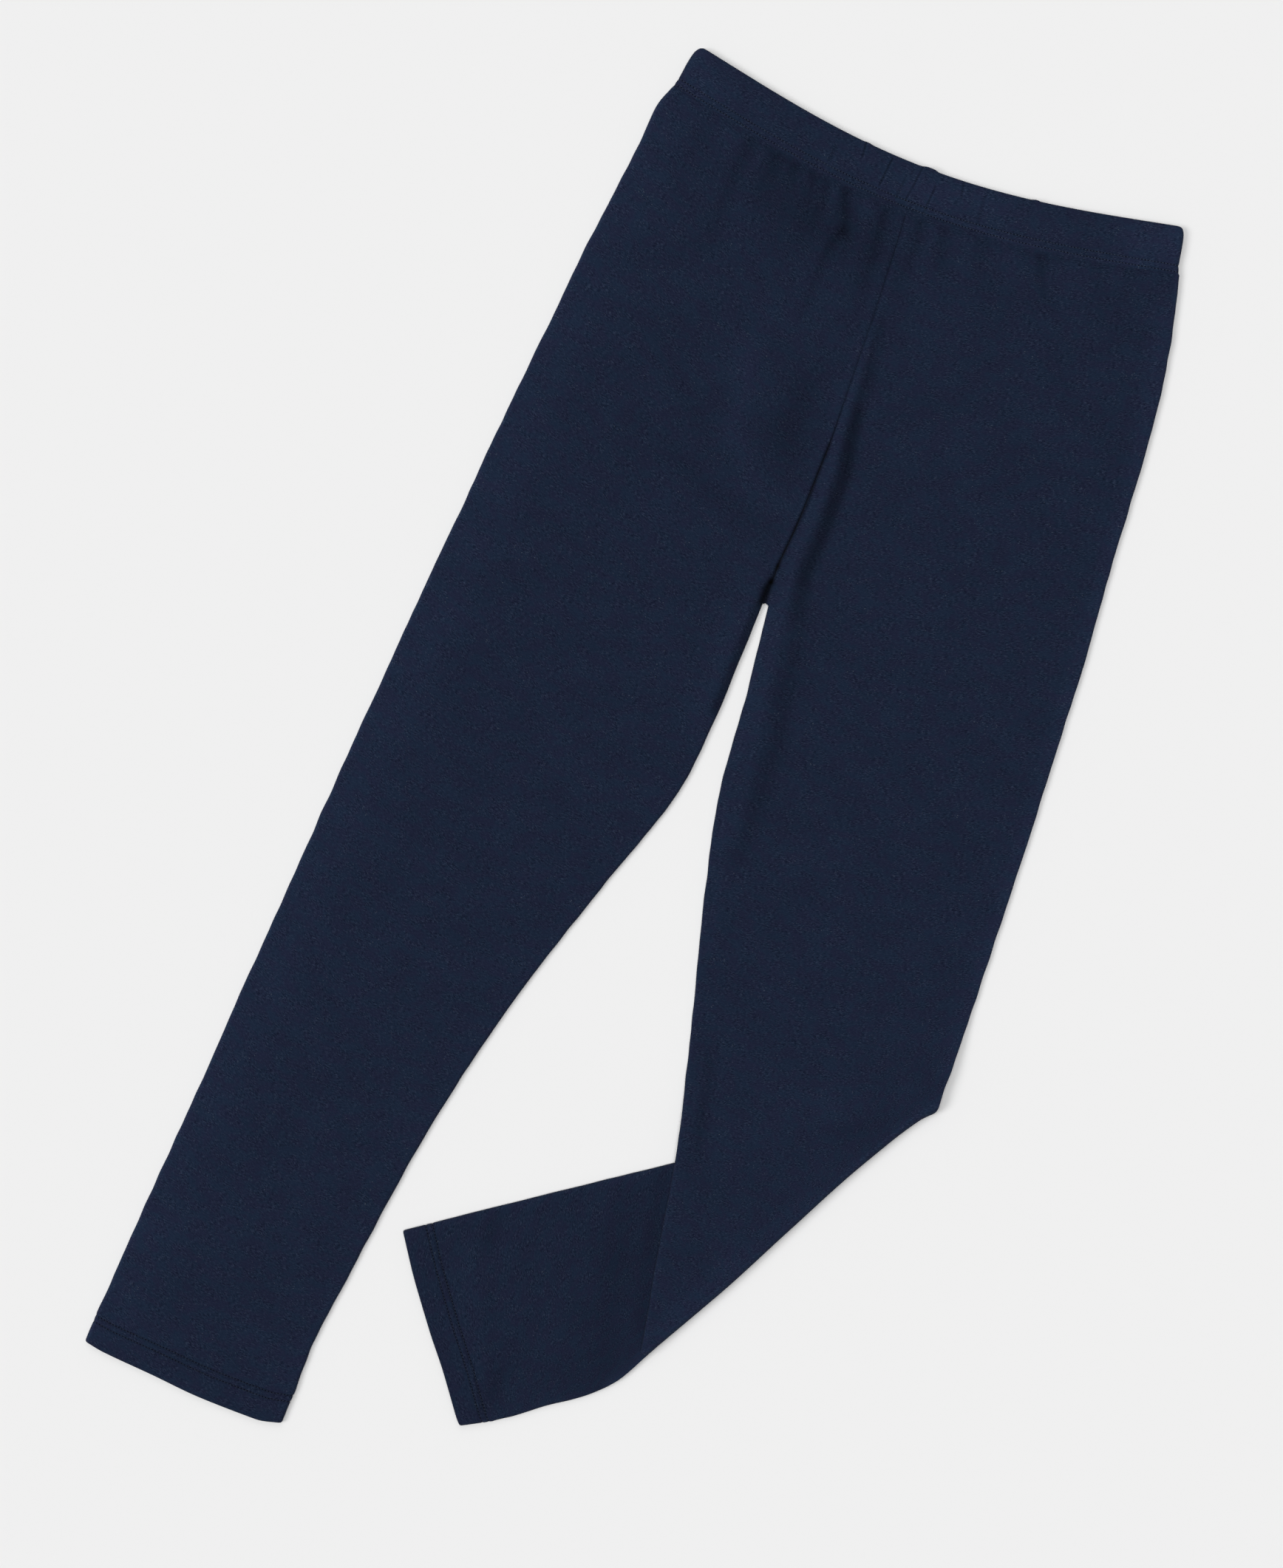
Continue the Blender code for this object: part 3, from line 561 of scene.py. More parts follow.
def curve_through(stations, values, places):
    """Values at some places on a smooth curve that passes each station and never overshoots."""
    stations = np.asarray(stations, float)
    values = np.asarray(values, float)
    steps = np.diff(stations)
    slopes = np.diff(values) / steps
    tangents = np.concatenate([slopes[:1], np.zeros(len(slopes) - 1), slopes[-1:]])
    for i, (before, after) in enumerate(zip(slopes, slopes[1:]), start=1):
        if before * after > 0:
            tangents[i] = 2 * before * after / (before + after)
    at = np.clip(np.searchsorted(stations, places, side="right") - 1, 0, len(steps) - 1)
    step = steps[at]
    t = (places - stations[at]) / step
    return (
        values[at] * (1 + 2 * t) * (1 - t) ** 2
        + values[at + 1] * t * t * (3 - 2 * t)
        + step * t * (1 - t) * (tangents[at] * (1 - t) - tangents[at + 1] * t)
    )


def soft_noise(places, length_x, length_y, layer):
    """Smooth unevenness between -1 and 1 at some places."""
    flat = places.reshape(-1, 2) / (length_x, length_y)
    values = [noise.noise(Vector((x, y, layer))) for x, y in flat]
    return np.array(values).reshape(places.shape[:-1])


def waist_shape(share):
    """The waist's curve: 1 at the centre front, 0 at the side."""
    return np.cos(math.pi / 2 * np.clip(np.abs(share), 0, 1)) ** WAIST_BLUNTNESS


def along_routes(strokes, places, fade):
    """The sum of some soft strokes at some places. A stroke has a name, a route, a half width and
    a strength, and fade says how its strength goes with the share of its route."""
    flat = places.reshape(-1, 2)
    total = np.zeros(len(flat))
    for _, route, half_width, strength in strokes:
        route = np.array(route, float)
        spans = np.diff(route, axis=0)
        lengths = np.hypot(*spans.T)
        starts = np.concatenate([[0], np.cumsum(lengths)])
        nearest = np.full(len(flat), np.inf)
        along = np.zeros(len(flat))
        for corner, span, length, start in zip(route, spans, lengths, starts):
            share = np.clip((flat - corner) @ span / length**2, 0, 1)
            distance = np.hypot(*(flat - corner - share[:, None] * span).T)
            along = np.where(distance < nearest, start + share * length, along)
            nearest = np.minimum(nearest, distance)
        total += strength * fade(along / starts[-1]) * np.exp(-((nearest / half_width) ** 2))
    return total.reshape(places.shape[:-1])


def fades_down(share):
    return 1 - GATHER_FADE * share


def fades_at_both_ends(share):
    return np.sin(math.pi * (FOLD_END + (1 - 2 * FOLD_END) * share))


def stays(share):
    return 1.0


def pulled_in(rows):
    """How deep in its own thickness each row's outer skin lies: the stitches pull it in."""
    return (rows[:, ROUNDING] + GROOVE_DEPTH * rows[:, GROOVE])[:, None]


def lift(places):
    """How high the underside of the upper left leg is carried by the part folded beneath it."""
    edge_x, edge_y = np.array(FOLDED_EDGE)[::-1].T
    slope = (edge_y[-1] - edge_y[0]) / (edge_x[-1] - edge_x[0])
    before = (places[..., 1] - np.interp(places[..., 0], edge_x, edge_y)) / math.hypot(1, slope)
    return (FOLD_THICK + FOLD_GAP) * smooth(1 - (before - RAMP_CLEAR) / RAMP_LENGTH)


# The columns of a row across a flattened tube
COLUMNS = range(14)
OUTER_X, OUTER_Y, INNER_X, INNER_Y, THICK, SAG, ROLLED, FOLD, HEMMED, TURN, *LAST_COLUMNS = COLUMNS
GROOVE, ROUNDING, PARTED, ASIDE = LAST_COLUMNS


def tube_row(
    outer, inner, thick, sag=0, rolled=1, fold=0, hemmed=0, turn=0,
    groove=0, rounding=0, parted=0, aside=0,
):
    """One row across a flattened tube, from its outer edge to its inner one."""
    return *outer, *inner, thick, sag, rolled, fold, hemmed, turn, groove, rounding, parted, aside


def between(table, step):
    """Rows along a table of sections, about a step apart."""
    table = np.array(table, float)
    middles = (table[:, 0:2] + table[:, 2:4]) / 2
    counts = np.maximum(1, np.ceil(np.hypot(*np.diff(middles, axis=0).T) / step)).astype(int)
    stations = np.arange(len(table), dtype=float)
    steps = [i + np.arange(count) / count for i, count in enumerate(counts)]
    places = np.concatenate([*steps, stations[-1:]])
    return np.column_stack([curve_through(stations, column, places) for column in table.T])


def torso_rows(is_left):
    """Rows from the foot of the band to the crotch, open along the centre seam."""
    sections = []
    for down, sag, right_x, left_x, seam_x, thick, rolled, right_parted, left_parted in TORSO:
        outer_x = left_x if is_left else right_x
        inner_x = seam_x + (SEAM_GAP / 2 if is_left else -SEAM_GAP / 2)
        parted = left_parted if is_left else -right_parted
        aside = BACK_SEAM_ASIDE * (1 - rolled)
        ends = (outer_x, -down), (inner_x, -down - sag)
        sections.append(tube_row(*ends, thick, sag, rolled, parted=parted, aside=aside))
    return between(sections, GATHERED_ROW_STEP)


def leg_rows(table, turn):
    """Rows of a leg below the crotch."""
    sections = [
        tube_row((outer_x, outer_y), (inner_x, inner_y), thick, fold=fold, hemmed=hemmed, turn=turn)
        for outer_x, outer_y, inner_x, inner_y, thick, fold, hemmed in table
    ]
    return between(sections, ROW_STEP)


def bend_rows():
    """Rows round the fold, between the upper leg and the part that is turned under."""
    rows = []
    for share in np.arange(1, FOLD_ROWS) / FOLD_ROWS:
        outer = np.array(FOLD_OUTER) + share * (np.array(FOLD_OUTER_BELOW) - FOLD_OUTER)
        slid = smooth((share - BEND_SLIDES_FROM) / (1 - BEND_SLIDES_FROM))
        inner = np.array(FOLD_INNER) + slid * (np.array(FOLD_INNER_BELOW) - FOLD_INNER)
        rows.append(tube_row(outer, inner, FOLD_THICK, fold=1, turn=180 * share))
    return np.array(rows)


def hem_rows(table, foot, turn):
    """Rows of the turned-up hem, from the end of the leg to its foot."""
    *top, _, _, top_hemmed = table[-1]
    rows = []
    for share, thick, groove, rounding in HEM:
        ends = np.array(top) + share * (np.array(foot) - top)
        hemmed = top_hemmed + share * (1 - top_hemmed)
        curve = {"hemmed": hemmed, "turn": turn, "groove": groove, "rounding": rounding}
        rows.append(tube_row(ends[:2], ends[2:], thick, **curve))
    return np.array(rows)


def band_downs():
    """How far below the waist's edge each row of the band lies, and how far its edge is rounded."""
    radius = BAND_WALL / 2
    turns = np.radians(BAND_EDGE_TURNS)
    downs = radius * (1 - np.cos(turns))
    roundings = radius * (1 - np.sin(turns))
    seams = np.concatenate([seam + np.array(BAND_SEAM_STEPS) for seam in BAND_SEAMS])
    plain = np.arange(radius, seams[0] - BAND_STEP / 2, BAND_STEP)
    downs = np.concatenate([downs, plain, np.sort(seams), [BETWEEN_SEAMS, ABOVE_FOOT, BAND_DEPTH]])
    roundings = np.concatenate([roundings, np.zeros(len(downs) - len(roundings))])
    order = np.argsort(downs)
    return downs[order], roundings[order]


def band_rows():
    """Rows of the waistband, from the waist's edge to its foot."""
    downs, roundings = band_downs()
    stations, *columns = np.array(WAISTBAND).T
    right_x, left_x, thick = (curve_through(stations, column, downs) for column in columns)
    groove = sum(np.exp(-(((downs - seam) / GROOVE_WIDTH) ** 2)) for seam in BAND_SEAMS)
    rows = np.zeros((len(downs), len(COLUMNS)))
    rows[:, OUTER_X] = left_x
    rows[:, INNER_X] = right_x
    rows[:, OUTER_Y] = rows[:, INNER_Y] = -downs
    rows[:, THICK] = thick
    rows[:, SAG] = WAIST_SAG
    rows[:, ROLLED] = 1
    rows[:, GROOVE] = groove
    rows[:, ROUNDING] = roundings
    return rows


def waver(rows, closed):
    """Makes the outer edges of the rows waver a little, and the inseams too."""
    below_crotch = np.clip((np.cumsum(closed) - WAVER_FROM_ROW) / WAVER_ROWS, 0, 1)
    edges = (
        (OUTER_X, OUTER_Y, OUTER_WAVER_LAYER, 1.0),
        (INNER_X, INNER_Y, INNER_WAVER_LAYER, below_crotch),
    )
    for x, y, layer, moves in edges:
        rows[:, x] += WAVER * moves * soft_noise(rows[:, (x, y)], WAVER_LENGTH, WAVER_LENGTH, layer)


def ring_marks(front_spans, back_spans, edge_spans):
    """Marks round a ring. 0 to 1 is the upper half of the inner edge, 1 to 2 the front,
    2 to 3 the outer edge, 3 to 4 the back and 4 to 5 the lower half of the inner edge."""
    half_edge = edge_spans // 2
    return np.concatenate([
        np.arange(half_edge) / half_edge,
        1 + (np.arange(front_spans) / front_spans) ** CROWDING,
        2 + np.arange(edge_spans) / edge_spans,
        3 + np.arange(back_spans) / back_spans,
        4 + np.arange(half_edge + 1) / half_edge,
    ])


def band_marks():
    """Marks round the band, close together where the casing is tucked."""
    right_x, left_x = WAISTBAND[3][1:3]
    places = np.concatenate([
        np.arange(right_x, TUCKED_FROM, BAND_SPAN),
        np.arange(TUCKED_FROM, TUCKED_TO, TUCK_STEP),
        np.arange(TUCKED_TO, left_x, BAND_SPAN),
    ])
    plain = ring_marks(1, 2 * BACK_SPANS, EDGE_SPANS)
    front = 1 + (places - right_x) / (left_x - right_x)
    return np.concatenate([plain[plain < 1], front, plain[plain >= 2]])


def plan_places(rows, share, hem_edge):
    """Places at some shares of the way from each row's inner end to its outer end."""
    inner, outer = rows[:, None, INNER_X:INNER_Y + 1], rows[:, None, OUTER_X:OUTER_Y + 1]
    across = outer - inner
    places = inner + share[..., None] * across
    sag = rows[:, None, SAG]
    curved = outer[..., 1] - sag * waist_shape(places[..., 0] / outer[..., 0])
    places[..., 1] = np.where(sag > 0, curved, places[..., 1])
    from_outer = np.clip(1 - share, 0, 1)
    outside = rows[:, None, HEMMED] * curve_through(*np.array(hem_edge).T, from_outer)
    outside = outside - rows[:, None, FOLD] * curve_through(*np.array(FOLD_EDGE).T, from_outer)
    hem_side = np.stack([-across[..., 1], across[..., 0]], axis=-1)
    hem_side = hem_side / np.linalg.norm(hem_side, axis=-1, keepdims=True)
    return places + outside[..., None] * hem_side


def flat_skin(rows, marks, depth, hem_edge):
    """Places and heights on a flattened tube's skin, some depth inside its outer one, how far a
    fold may rise there, which is nothing at a rounded edge, and how much painted light brightens
    its rim."""
    width = np.hypot(rows[:, OUTER_X] - rows[:, INNER_X], rows[:, OUTER_Y] - rows[:, INNER_Y])[:, None]
    middle = rows[:, None, THICK] / 2
    rolled = rows[:, None, ROLLED]
    reach = middle - depth
    part = np.clip(marks.astype(int), 0, 4)
    share = marks - part
    angle = math.pi / 2 * np.choose(part, [share, 1, 1 - 2 * share, 1, 1 - share])
    side = np.where(part >= 3, -1, 1)
    flush = np.choose(part, [share, 1, 1, 1, 1 - share])
    inner_across = rolled * (middle - reach * np.cos(angle)) + (1 - rolled) * middle * flush
    rolled_height = middle + side * reach * np.sin(angle)
    inner_height = rolled * rolled_height + (1 - rolled) * (middle + side * reach)
    flat = width - 2 * middle
    across = np.where(part == 1, middle + share * flat, inner_across)
    across = np.where(part == 2, width - middle + reach * np.cos(angle), across)
    across = np.where(part == 3, width - middle - share * flat, across)
    height = np.where((part == 0) | (part == 4), inner_height, rolled_height)
    places = plan_places(rows, across / width, hem_edge)
    over_seam = np.choose(part, [share, 1, 1, 0, 0]) * np.exp(-across / PARTED_REACH)
    under_seam = np.choose(part, [0, 0, 0, 1, 1 - share]) * np.exp(-across / BACK_SEAM_REACH)
    places[..., 0] += rows[:, None, PARTED] * over_seam + rows[:, None, ASIDE] * under_seam
    room = smooth((width - across) / EDGE_FADE) * (1 - rolled * (1 - smooth(across / EDGE_FADE)))
    rim = np.exp((across - width) / RIM_WIDTH) + rolled * np.exp(-across / RIM_WIDTH)
    return places, height, room, RIM * rim


def leg_skin(rows, marks, depth, is_left):
    """The points of a leg's skin, some depth inside its outer one, and their tones."""
    hem_edge = LEFT_HEM_EDGE if is_left else RIGHT_HEM_EDGE
    places, height, room, rim = flat_skin(rows, marks, depth, hem_edge)
    turn = rows[:, None, TURN]
    thick = rows[:, None, THICK]
    lies_up = turn < LEAST_TURN
    bent = (turn > LEAST_TURN) & (turn < 180 - LEAST_TURN)
    shown = np.where(lies_up, marks <= 2, marks > 2)
    uneven = UNEVEN * soft_noise(places, UNEVEN_LENGTH, UNEVEN_LENGTH, UNEVEN_LAYER)
    under_rise = along_routes(UNDER_GATHERS, places, fades_down)
    under_rise += along_routes(UNDER_FOLDS, places, fades_at_both_ends)
    under_rise = np.clip(under_rise + uneven / 2, 0, None)
    upper_rise = along_routes(GATHERS, places, fades_down)
    upper_rise += along_routes(FRONT_FOLDS, places, fades_at_both_ends)
    shown_rise = np.where(lies_up, upper_rise, along_routes(LOWER_FOLDS, places, fades_at_both_ends))
    shown_rise = np.maximum(shown_rise + uneven, 2 * WALL + LEAST_HOLLOW - thick + under_rise)
    room = room * smooth((-BAND_DEPTH - rows[:, None, OUTER_Y]) / GATHERS_START)
    room = room * (rows[:, None, ROUNDING] == 0)
    rise = np.where(shown, shown_rise, under_rise) * room
    # The tones: painted light and shade along the strokes of the tables, painted shade that deepens as the
    # cloth sinks, painted light on rounded edges, the fold's bend and rims, and painted shade in the
    # stitches' grooves
    upper_tones = along_routes(FRONT_TONES, places, stays)
    tones = np.where(lies_up, upper_tones, along_routes(LOWER_TONES, places, stays))
    tones = np.where(shown & ~bent, 1 + tones + CAVITY_TONE * rise, ROUNDED_TONE) + rim
    tones += SEAM_TONE * rows[:, None, GROOVE]

    angle = np.radians(turn)
    radius = FOLD_GAP / 2 + height
    along = np.array(FOLD_INNER) - np.array(FOLD_OUTER)
    outwards = np.array([-along[1], along[0]]) / np.hypot(*along)
    spots = places + np.where(bent, radius * np.sin(angle), 0)[..., None] * outwards
    carried = lift(places) if is_left else 0
    level = np.where(lies_up, height + carried + rise, thick - height + rise)
    level = np.where(bent, FOLD_THICK + FOLD_GAP / 2 + radius * np.cos(angle), level)
    return np.concatenate([spots, level[..., None]], axis=-1), tones


def band_skin(rows, marks, depth):
    """The points of the waistband's skin, some depth inside its outer one, and their tones."""
    places, height, room, rim = flat_skin(rows, marks, depth, LEFT_HEM_EDGE)
    down = -rows[:, None, OUTER_Y]
    front = marks <= 2
    on_casing = smooth(down / RIPPLE_START) * smooth((BAND_DEPTH - down) / RIPPLE_END)
    ripples = sum(rise * soft_noise(places, *lengths_and_layer) for rise, *lengths_and_layer in RIPPLES)
    tucks = np.zeros(height.shape)
    for top_x, top_y, bottom_x, bottom_y, half_width, strength in TUCKS:
        route = ((top_x, top_y), (bottom_x, bottom_y))
        crease = ("crease", route, half_width, strength)
        lips = ("lips", route, LIPS_WIDER * half_width, -strength / LIPS_LOWER)
        tucks += along_routes((crease, lips), places, stays)
    front_rise = ripples * on_casing + tucks * smooth(down / TUCK_START)
    rise = np.where(front, front_rise, np.clip(ripples, 0, None) * on_casing) * room
    # The tones: painted shade in the tucks, the strokes of the band's table, and painted light on the
    # rounded edge and rim
    tuck_tones = TUCK_TONE * np.clip(tucks, *TUCK_TONE_SPAN)
    front_tones = 1 + along_routes(BAND_TONES, places, stays) + tuck_tones
    tones = np.where(front, front_tones, ROUNDED_TONE) + rim
    for x, half_width, out in EDGE_BUMPS:
        bump = np.exp(-(((places[..., 0] - x) / half_width) ** 4))
        places[..., 1] += out * bump * smooth(1 - down / BUMP_DEPTH)
    return np.concatenate([places, (height + rise)[..., None]], axis=-1), tones


class Shell:
    """The vertices, faces, cloth coordinates and tones of one piece, as they are collected."""

    def __init__(self):
        self.points = []
        self.faces = []
        self.corners = []
        self.tones = []

    def add_grid(self, points, tones, cloth, closed):
        """A skin of quads. The last mark of a closed row is its first one again."""
        first = sum(len(block) for block in self.points)
        self.points.append(points.reshape(-1, 3))
        self.tones.append(tones.reshape(-1))
        index = first + np.arange(tones.size).reshape(tones.shape)
        index[closed, -1] = index[closed, 0]
        quads = np.stack([index[:-1, :-1], index[1:, :-1], index[1:, 1:], index[:-1, 1:]], axis=-1)
        places = np.stack([cloth[:-1, :-1], cloth[1:, :-1], cloth[1:, 1:], cloth[:-1, 1:]], axis=-2)
        places = places.reshape(-1, 4, cloth.shape[-1])
        for quad, place in zip(quads.reshape(-1, 4).tolist(), places.tolist()):
            if len(set(quad)) == 4:
                self.faces.append(quad)
                self.corners.extend(place)
        return index

    def join_rings(self, upper, upper_marks, lower, lower_marks, cloth):
        """Faces between two rings, stepping along whichever mark comes next."""
        i = j = 0
        while i < len(upper) - 1 or j < len(lower) - 1:
            next_upper = upper_marks[i + 1] if i < len(upper) - 1 else math.inf
            next_lower = lower_marks[j + 1] if j < len(lower) - 1 else math.inf
            corners = [upper[i], lower[j]]
            if next_lower <= next_upper + SAME_MARK:
                j += 1
                corners.append(lower[j])
            if next_upper <= next_lower + SAME_MARK:
                i += 1
                corners.append(upper[i])
            self.faces.append([int(corner) for corner in corners])
            self.corners.extend([cloth.tolist()] * len(corners))

    def piece(self, name, material, mirrored=False):
        """A mesh object of the collected faces."""
        points = np.concatenate(self.points)
        tones = np.concatenate(self.tones)
        used = np.unique(np.concatenate([np.array(face) for face in self.faces]))
        renumber = np.full(len(points), -1)
        renumber[used] = np.arange(len(used))
        places = points[used].copy()
        places[:, :2] -= MIDDLE
        faces = [[int(renumber[i]) for i in face] for face in self.faces]
        mesh = bpy.data.meshes.new(name)
        mesh.from_pydata((places * MM).tolist(), [], faces)
        corners = np.array(self.corners, np.float32)
        for i, layer_name in enumerate(("cloth", "stitches")[:corners.shape[1] // 2]):
            layer = mesh.uv_layers.new(name=layer_name)
            layer.data.foreach_set("uv", corners[:, 2 * i:2 * i + 2].ravel())
        tone = mesh.attributes.new("tone", "FLOAT", "POINT")
        tone.data.foreach_set("value", tones[used].astype(np.float32))
        mesh.materials.append(material)
        if mirrored:
            mesh.flip_normals()
        mesh.shade_smooth()
        mesh.set_sharp_from_angle(angle=math.radians(SHARP_ANGLE))
        return put_in_scene(name, mesh)


def round_lengths(skin):
    """How far round its row each point of a skin lies, in millimetres."""
    steps = np.linalg.norm(np.diff(skin, axis=1), axis=-1)
    return np.concatenate([np.zeros((len(skin), 1)), np.cumsum(steps, axis=1)], axis=1)


def cloth_places(skin):
    """Distances round and along the cloth, in millimetres, at each point of a skin. Those round it
    are measured from a place on the front."""
    across = round_lengths(skin)
    across = across - across[:, across.shape[1] // 3][:, None]
    steps = np.linalg.norm(np.diff(skin, axis=0), axis=-1)
    along = np.concatenate([np.zeros((1, skin.shape[1])), np.cumsum(steps, axis=0)])
    return np.stack([across, along], axis=-1)


def stitch_places(skin, seam_row, downs):
    """Stitch number round the seam and distance down from the piece's top, at each point, and the
    number of stitches round it."""
    lengths = round_lengths(skin[seam_row:seam_row + 1])[0]
    count = round(lengths[-1] / STITCH_PITCH)
    numbers = np.broadcast_to(lengths / lengths[-1] * count, skin.shape[:-1])
    return np.stack([numbers, np.broadcast_to(downs[:, None], skin.shape[:-1])], axis=-1), count


class Tree:
    """A node tree as it is built, with short calls for what repeats."""

    def __init__(self, tree):
        self.tree = tree

    def node(self, kind, inputs=None, **settings):
        node = self.tree.nodes.new(kind)
        for name, value in settings.items():
            setattr(node, name, value)
        for name, value in (inputs or {}).items():
            self.fill(node.inputs[name], value)
        return node

    def fill(self, socket, value):
        if isinstance(value, bpy.types.NodeSocket):
            self.tree.links.new(value, socket)
        else:
            socket.default_value = value

    def math(self, operation, *values):
        node = self.tree.nodes.new("ShaderNodeMath")
        node.operation = operation
        for socket, value in zip(node.inputs, values):
            self.fill(socket, value)
        return node.outputs["Value"]

    def range(self, value, start, full, low=0.0, high=1.0):
        node = self.node(
            "ShaderNodeMapRange",
            {"Value": value, "From Min": start, "From Max": full, "To Min": low, "To Max": high},
            interpolation_type="SMOOTHSTEP",
        )
        return node.outputs["Result"]

    def split(self, vector):
        node = self.node("ShaderNodeSeparateXYZ", {"Vector": vector})
        return node.outputs["X"], node.outputs["Y"]

    def noise(self, x, y, size_x, size_y, layer, detail=0.0):
        vector = self.node("ShaderNodeCombineXYZ", {
            "X": self.math("DIVIDE", x, size_x),
            "Y": self.math("DIVIDE", y, size_y),
            "Z": layer,
        })
        node = self.node("ShaderNodeTexNoise", {
            "Vector": vector.outputs["Vector"],
            "Scale": 1.0,
            "Detail": detail,
            "Roughness": DETAIL_ROUGHNESS,
        })
        return node.outputs["Fac"]

    def mix(self, factor, dark, light):
        node = self.node("ShaderNodeMix", data_type="RGBA")
        self.fill(node.inputs[0], factor)
        self.fill(node.inputs[6], dark)
        self.fill(node.inputs[7], light)
        return node.outputs[2]


def new_group(kind, name, inputs, outputs):
    """A node group with named sockets, and the builder for its nodes."""
    group = bpy.data.node_groups.new(name, kind)
    for in_out, sockets in (("INPUT", inputs), ("OUTPUT", outputs)):
        for socket, socket_kind in sockets.items():
            group.interface.new_socket(socket, in_out=in_out, socket_type=f"NodeSocket{socket_kind}")
    return group, Tree(group)


def stitch_tree(thread):
    """Lays one short thread at each point, along its seam and on the cloth's outside."""
    inputs = {"Geometry": "Geometry", "Length": "Float", "Thickness": "Float", "Seed": "Int"}
    group, tree = new_group("GeometryNodeTree", "coverstitch", inputs, {"Geometry": "Geometry"})
    given = tree.node("NodeGroupInput").outputs
    bead = tree.node("GeometryNodeMeshUVSphere", BEAD)
    size = tree.node("ShaderNodeCombineXYZ", {
        "X": given["Thickness"],
        "Y": given["Thickness"],
        "Z": given["Length"],
    })
    turn = None
    for attribute, axis, pivot in (("along", "Z", "AUTO"), ("out", "X", "Z")):
        direction = tree.node(
            "GeometryNodeInputNamedAttribute", {"Name": attribute}, data_type="FLOAT_VECTOR"
        )
        vector = {"Vector": direction.outputs["Attribute"]}
        before = {"Rotation": turn.outputs["Rotation"]} if turn else {}
        turn = tree.node("FunctionNodeAlignRotationToVector", vector | before, axis=axis, pivot_axis=pivot)
    sizes = {2: STITCH_SIZES[0], 3: STITCH_SIZES[1], "Seed": given["Seed"]}
    uneven = tree.node("FunctionNodeRandomValue", sizes, data_type="FLOAT")
    scale = tree.node("ShaderNodeVectorMath", {0: size.outputs["Vector"]}, operation="SCALE")
    tree.fill(scale.inputs["Scale"], uneven.outputs[1])
    lay = tree.node("GeometryNodeInstanceOnPoints", {
        "Points": given["Geometry"],
        "Instance": bead.outputs["Mesh"],
        "Rotation": turn.outputs["Rotation"],
        "Scale": scale.outputs["Vector"],
    })
    real = tree.node("GeometryNodeRealizeInstances", {"Geometry": lay.outputs["Instances"]})
    finish = tree.node("GeometryNodeSetMaterial", {
        "Geometry": real.outputs["Geometry"],
        "Material": thread,
    })
    tree.node("NodeGroupOutput", {"Geometry": finish.outputs["Geometry"]})
    return group


def seam_threads(name, skin, seam_rows, numbers, count, thread, seed, mirrored=False):
    """The stitches along the rows of a seam, each lying in the groove between two needle holes."""
    centres = np.arange(count) + 0.5
    spots, alongs, outs = [], [], []
    for row in seam_rows:
        place, above, below = (
            np.stack([np.interp(centres, numbers, skin[at, :, i]) for i in range(3)], axis=-1)
            for at in (row, row - 2, row + 2)
        )
        along = np.roll(place, -1, axis=0) - np.roll(place, 1, axis=0)
        out = np.cross(below - above, along) * (-1 if mirrored else 1)
        out /= np.linalg.norm(out, axis=-1, keepdims=True)
        spots.append(place + THREAD * THREAD_PROUD * out)
        alongs.append(along / np.linalg.norm(along, axis=-1, keepdims=True))
        outs.append(out)
    spots = np.concatenate(spots)
    spots[:, :2] -= MIDDLE
    mesh = bpy.data.meshes.new(name)
    mesh.from_pydata((spots * MM).tolist(), [], [])
    for attribute, values in (("along", np.concatenate(alongs)), ("out", np.concatenate(outs))):
        layer = mesh.attributes.new(attribute, "FLOAT_VECTOR", "POINT")
        layer.data.foreach_set("vector", values.astype(np.float32).ravel())
    holder = put_in_scene(name, mesh)
    modifier = holder.modifiers.new("stitches", "NODES")
    modifier.node_group = stitch_tree(thread)
    sockets = {item.name: item.identifier for item in modifier.node_group.interface.items_tree}
    modifier[sockets["Length"]] = STITCH_LENGTH * MM
    modifier[sockets["Thickness"]] = THREAD * MM
    modifier[sockets["Seed"]] = seed
    evaluated = holder.evaluated_get(bpy.context.evaluated_depsgraph_get())
    threads = bpy.data.meshes.new_from_object(evaluated)
    holder.modifiers.clear()
    holder.data = threads
    return holder


def add_wall(shell, skin, tones, cloth, closed, lining, inner_closed, marks, inner_marks):
    """A piece's outer skin, and its inner one with its faces the other way round."""
    outer = shell.add_grid(skin, tones, cloth, closed)
    inner_cloth = np.zeros((*lining.shape[:2], cloth.shape[-1]))
    inner_cloth[..., :2] = cloth_places(lining)
    inner = shell.add_grid(
        lining[:, ::-1], np.full(lining.shape[:-1], LINING_TONE), inner_cloth[:, ::-1], inner_closed
    )[:, ::-1]
    shell.join_rings(inner[0], inner_marks, outer[0], marks, cloth[0, 0])
    shell.join_rings(outer[-1], marks, inner[-1], inner_marks, cloth[-1, 0])
    return outer, inner


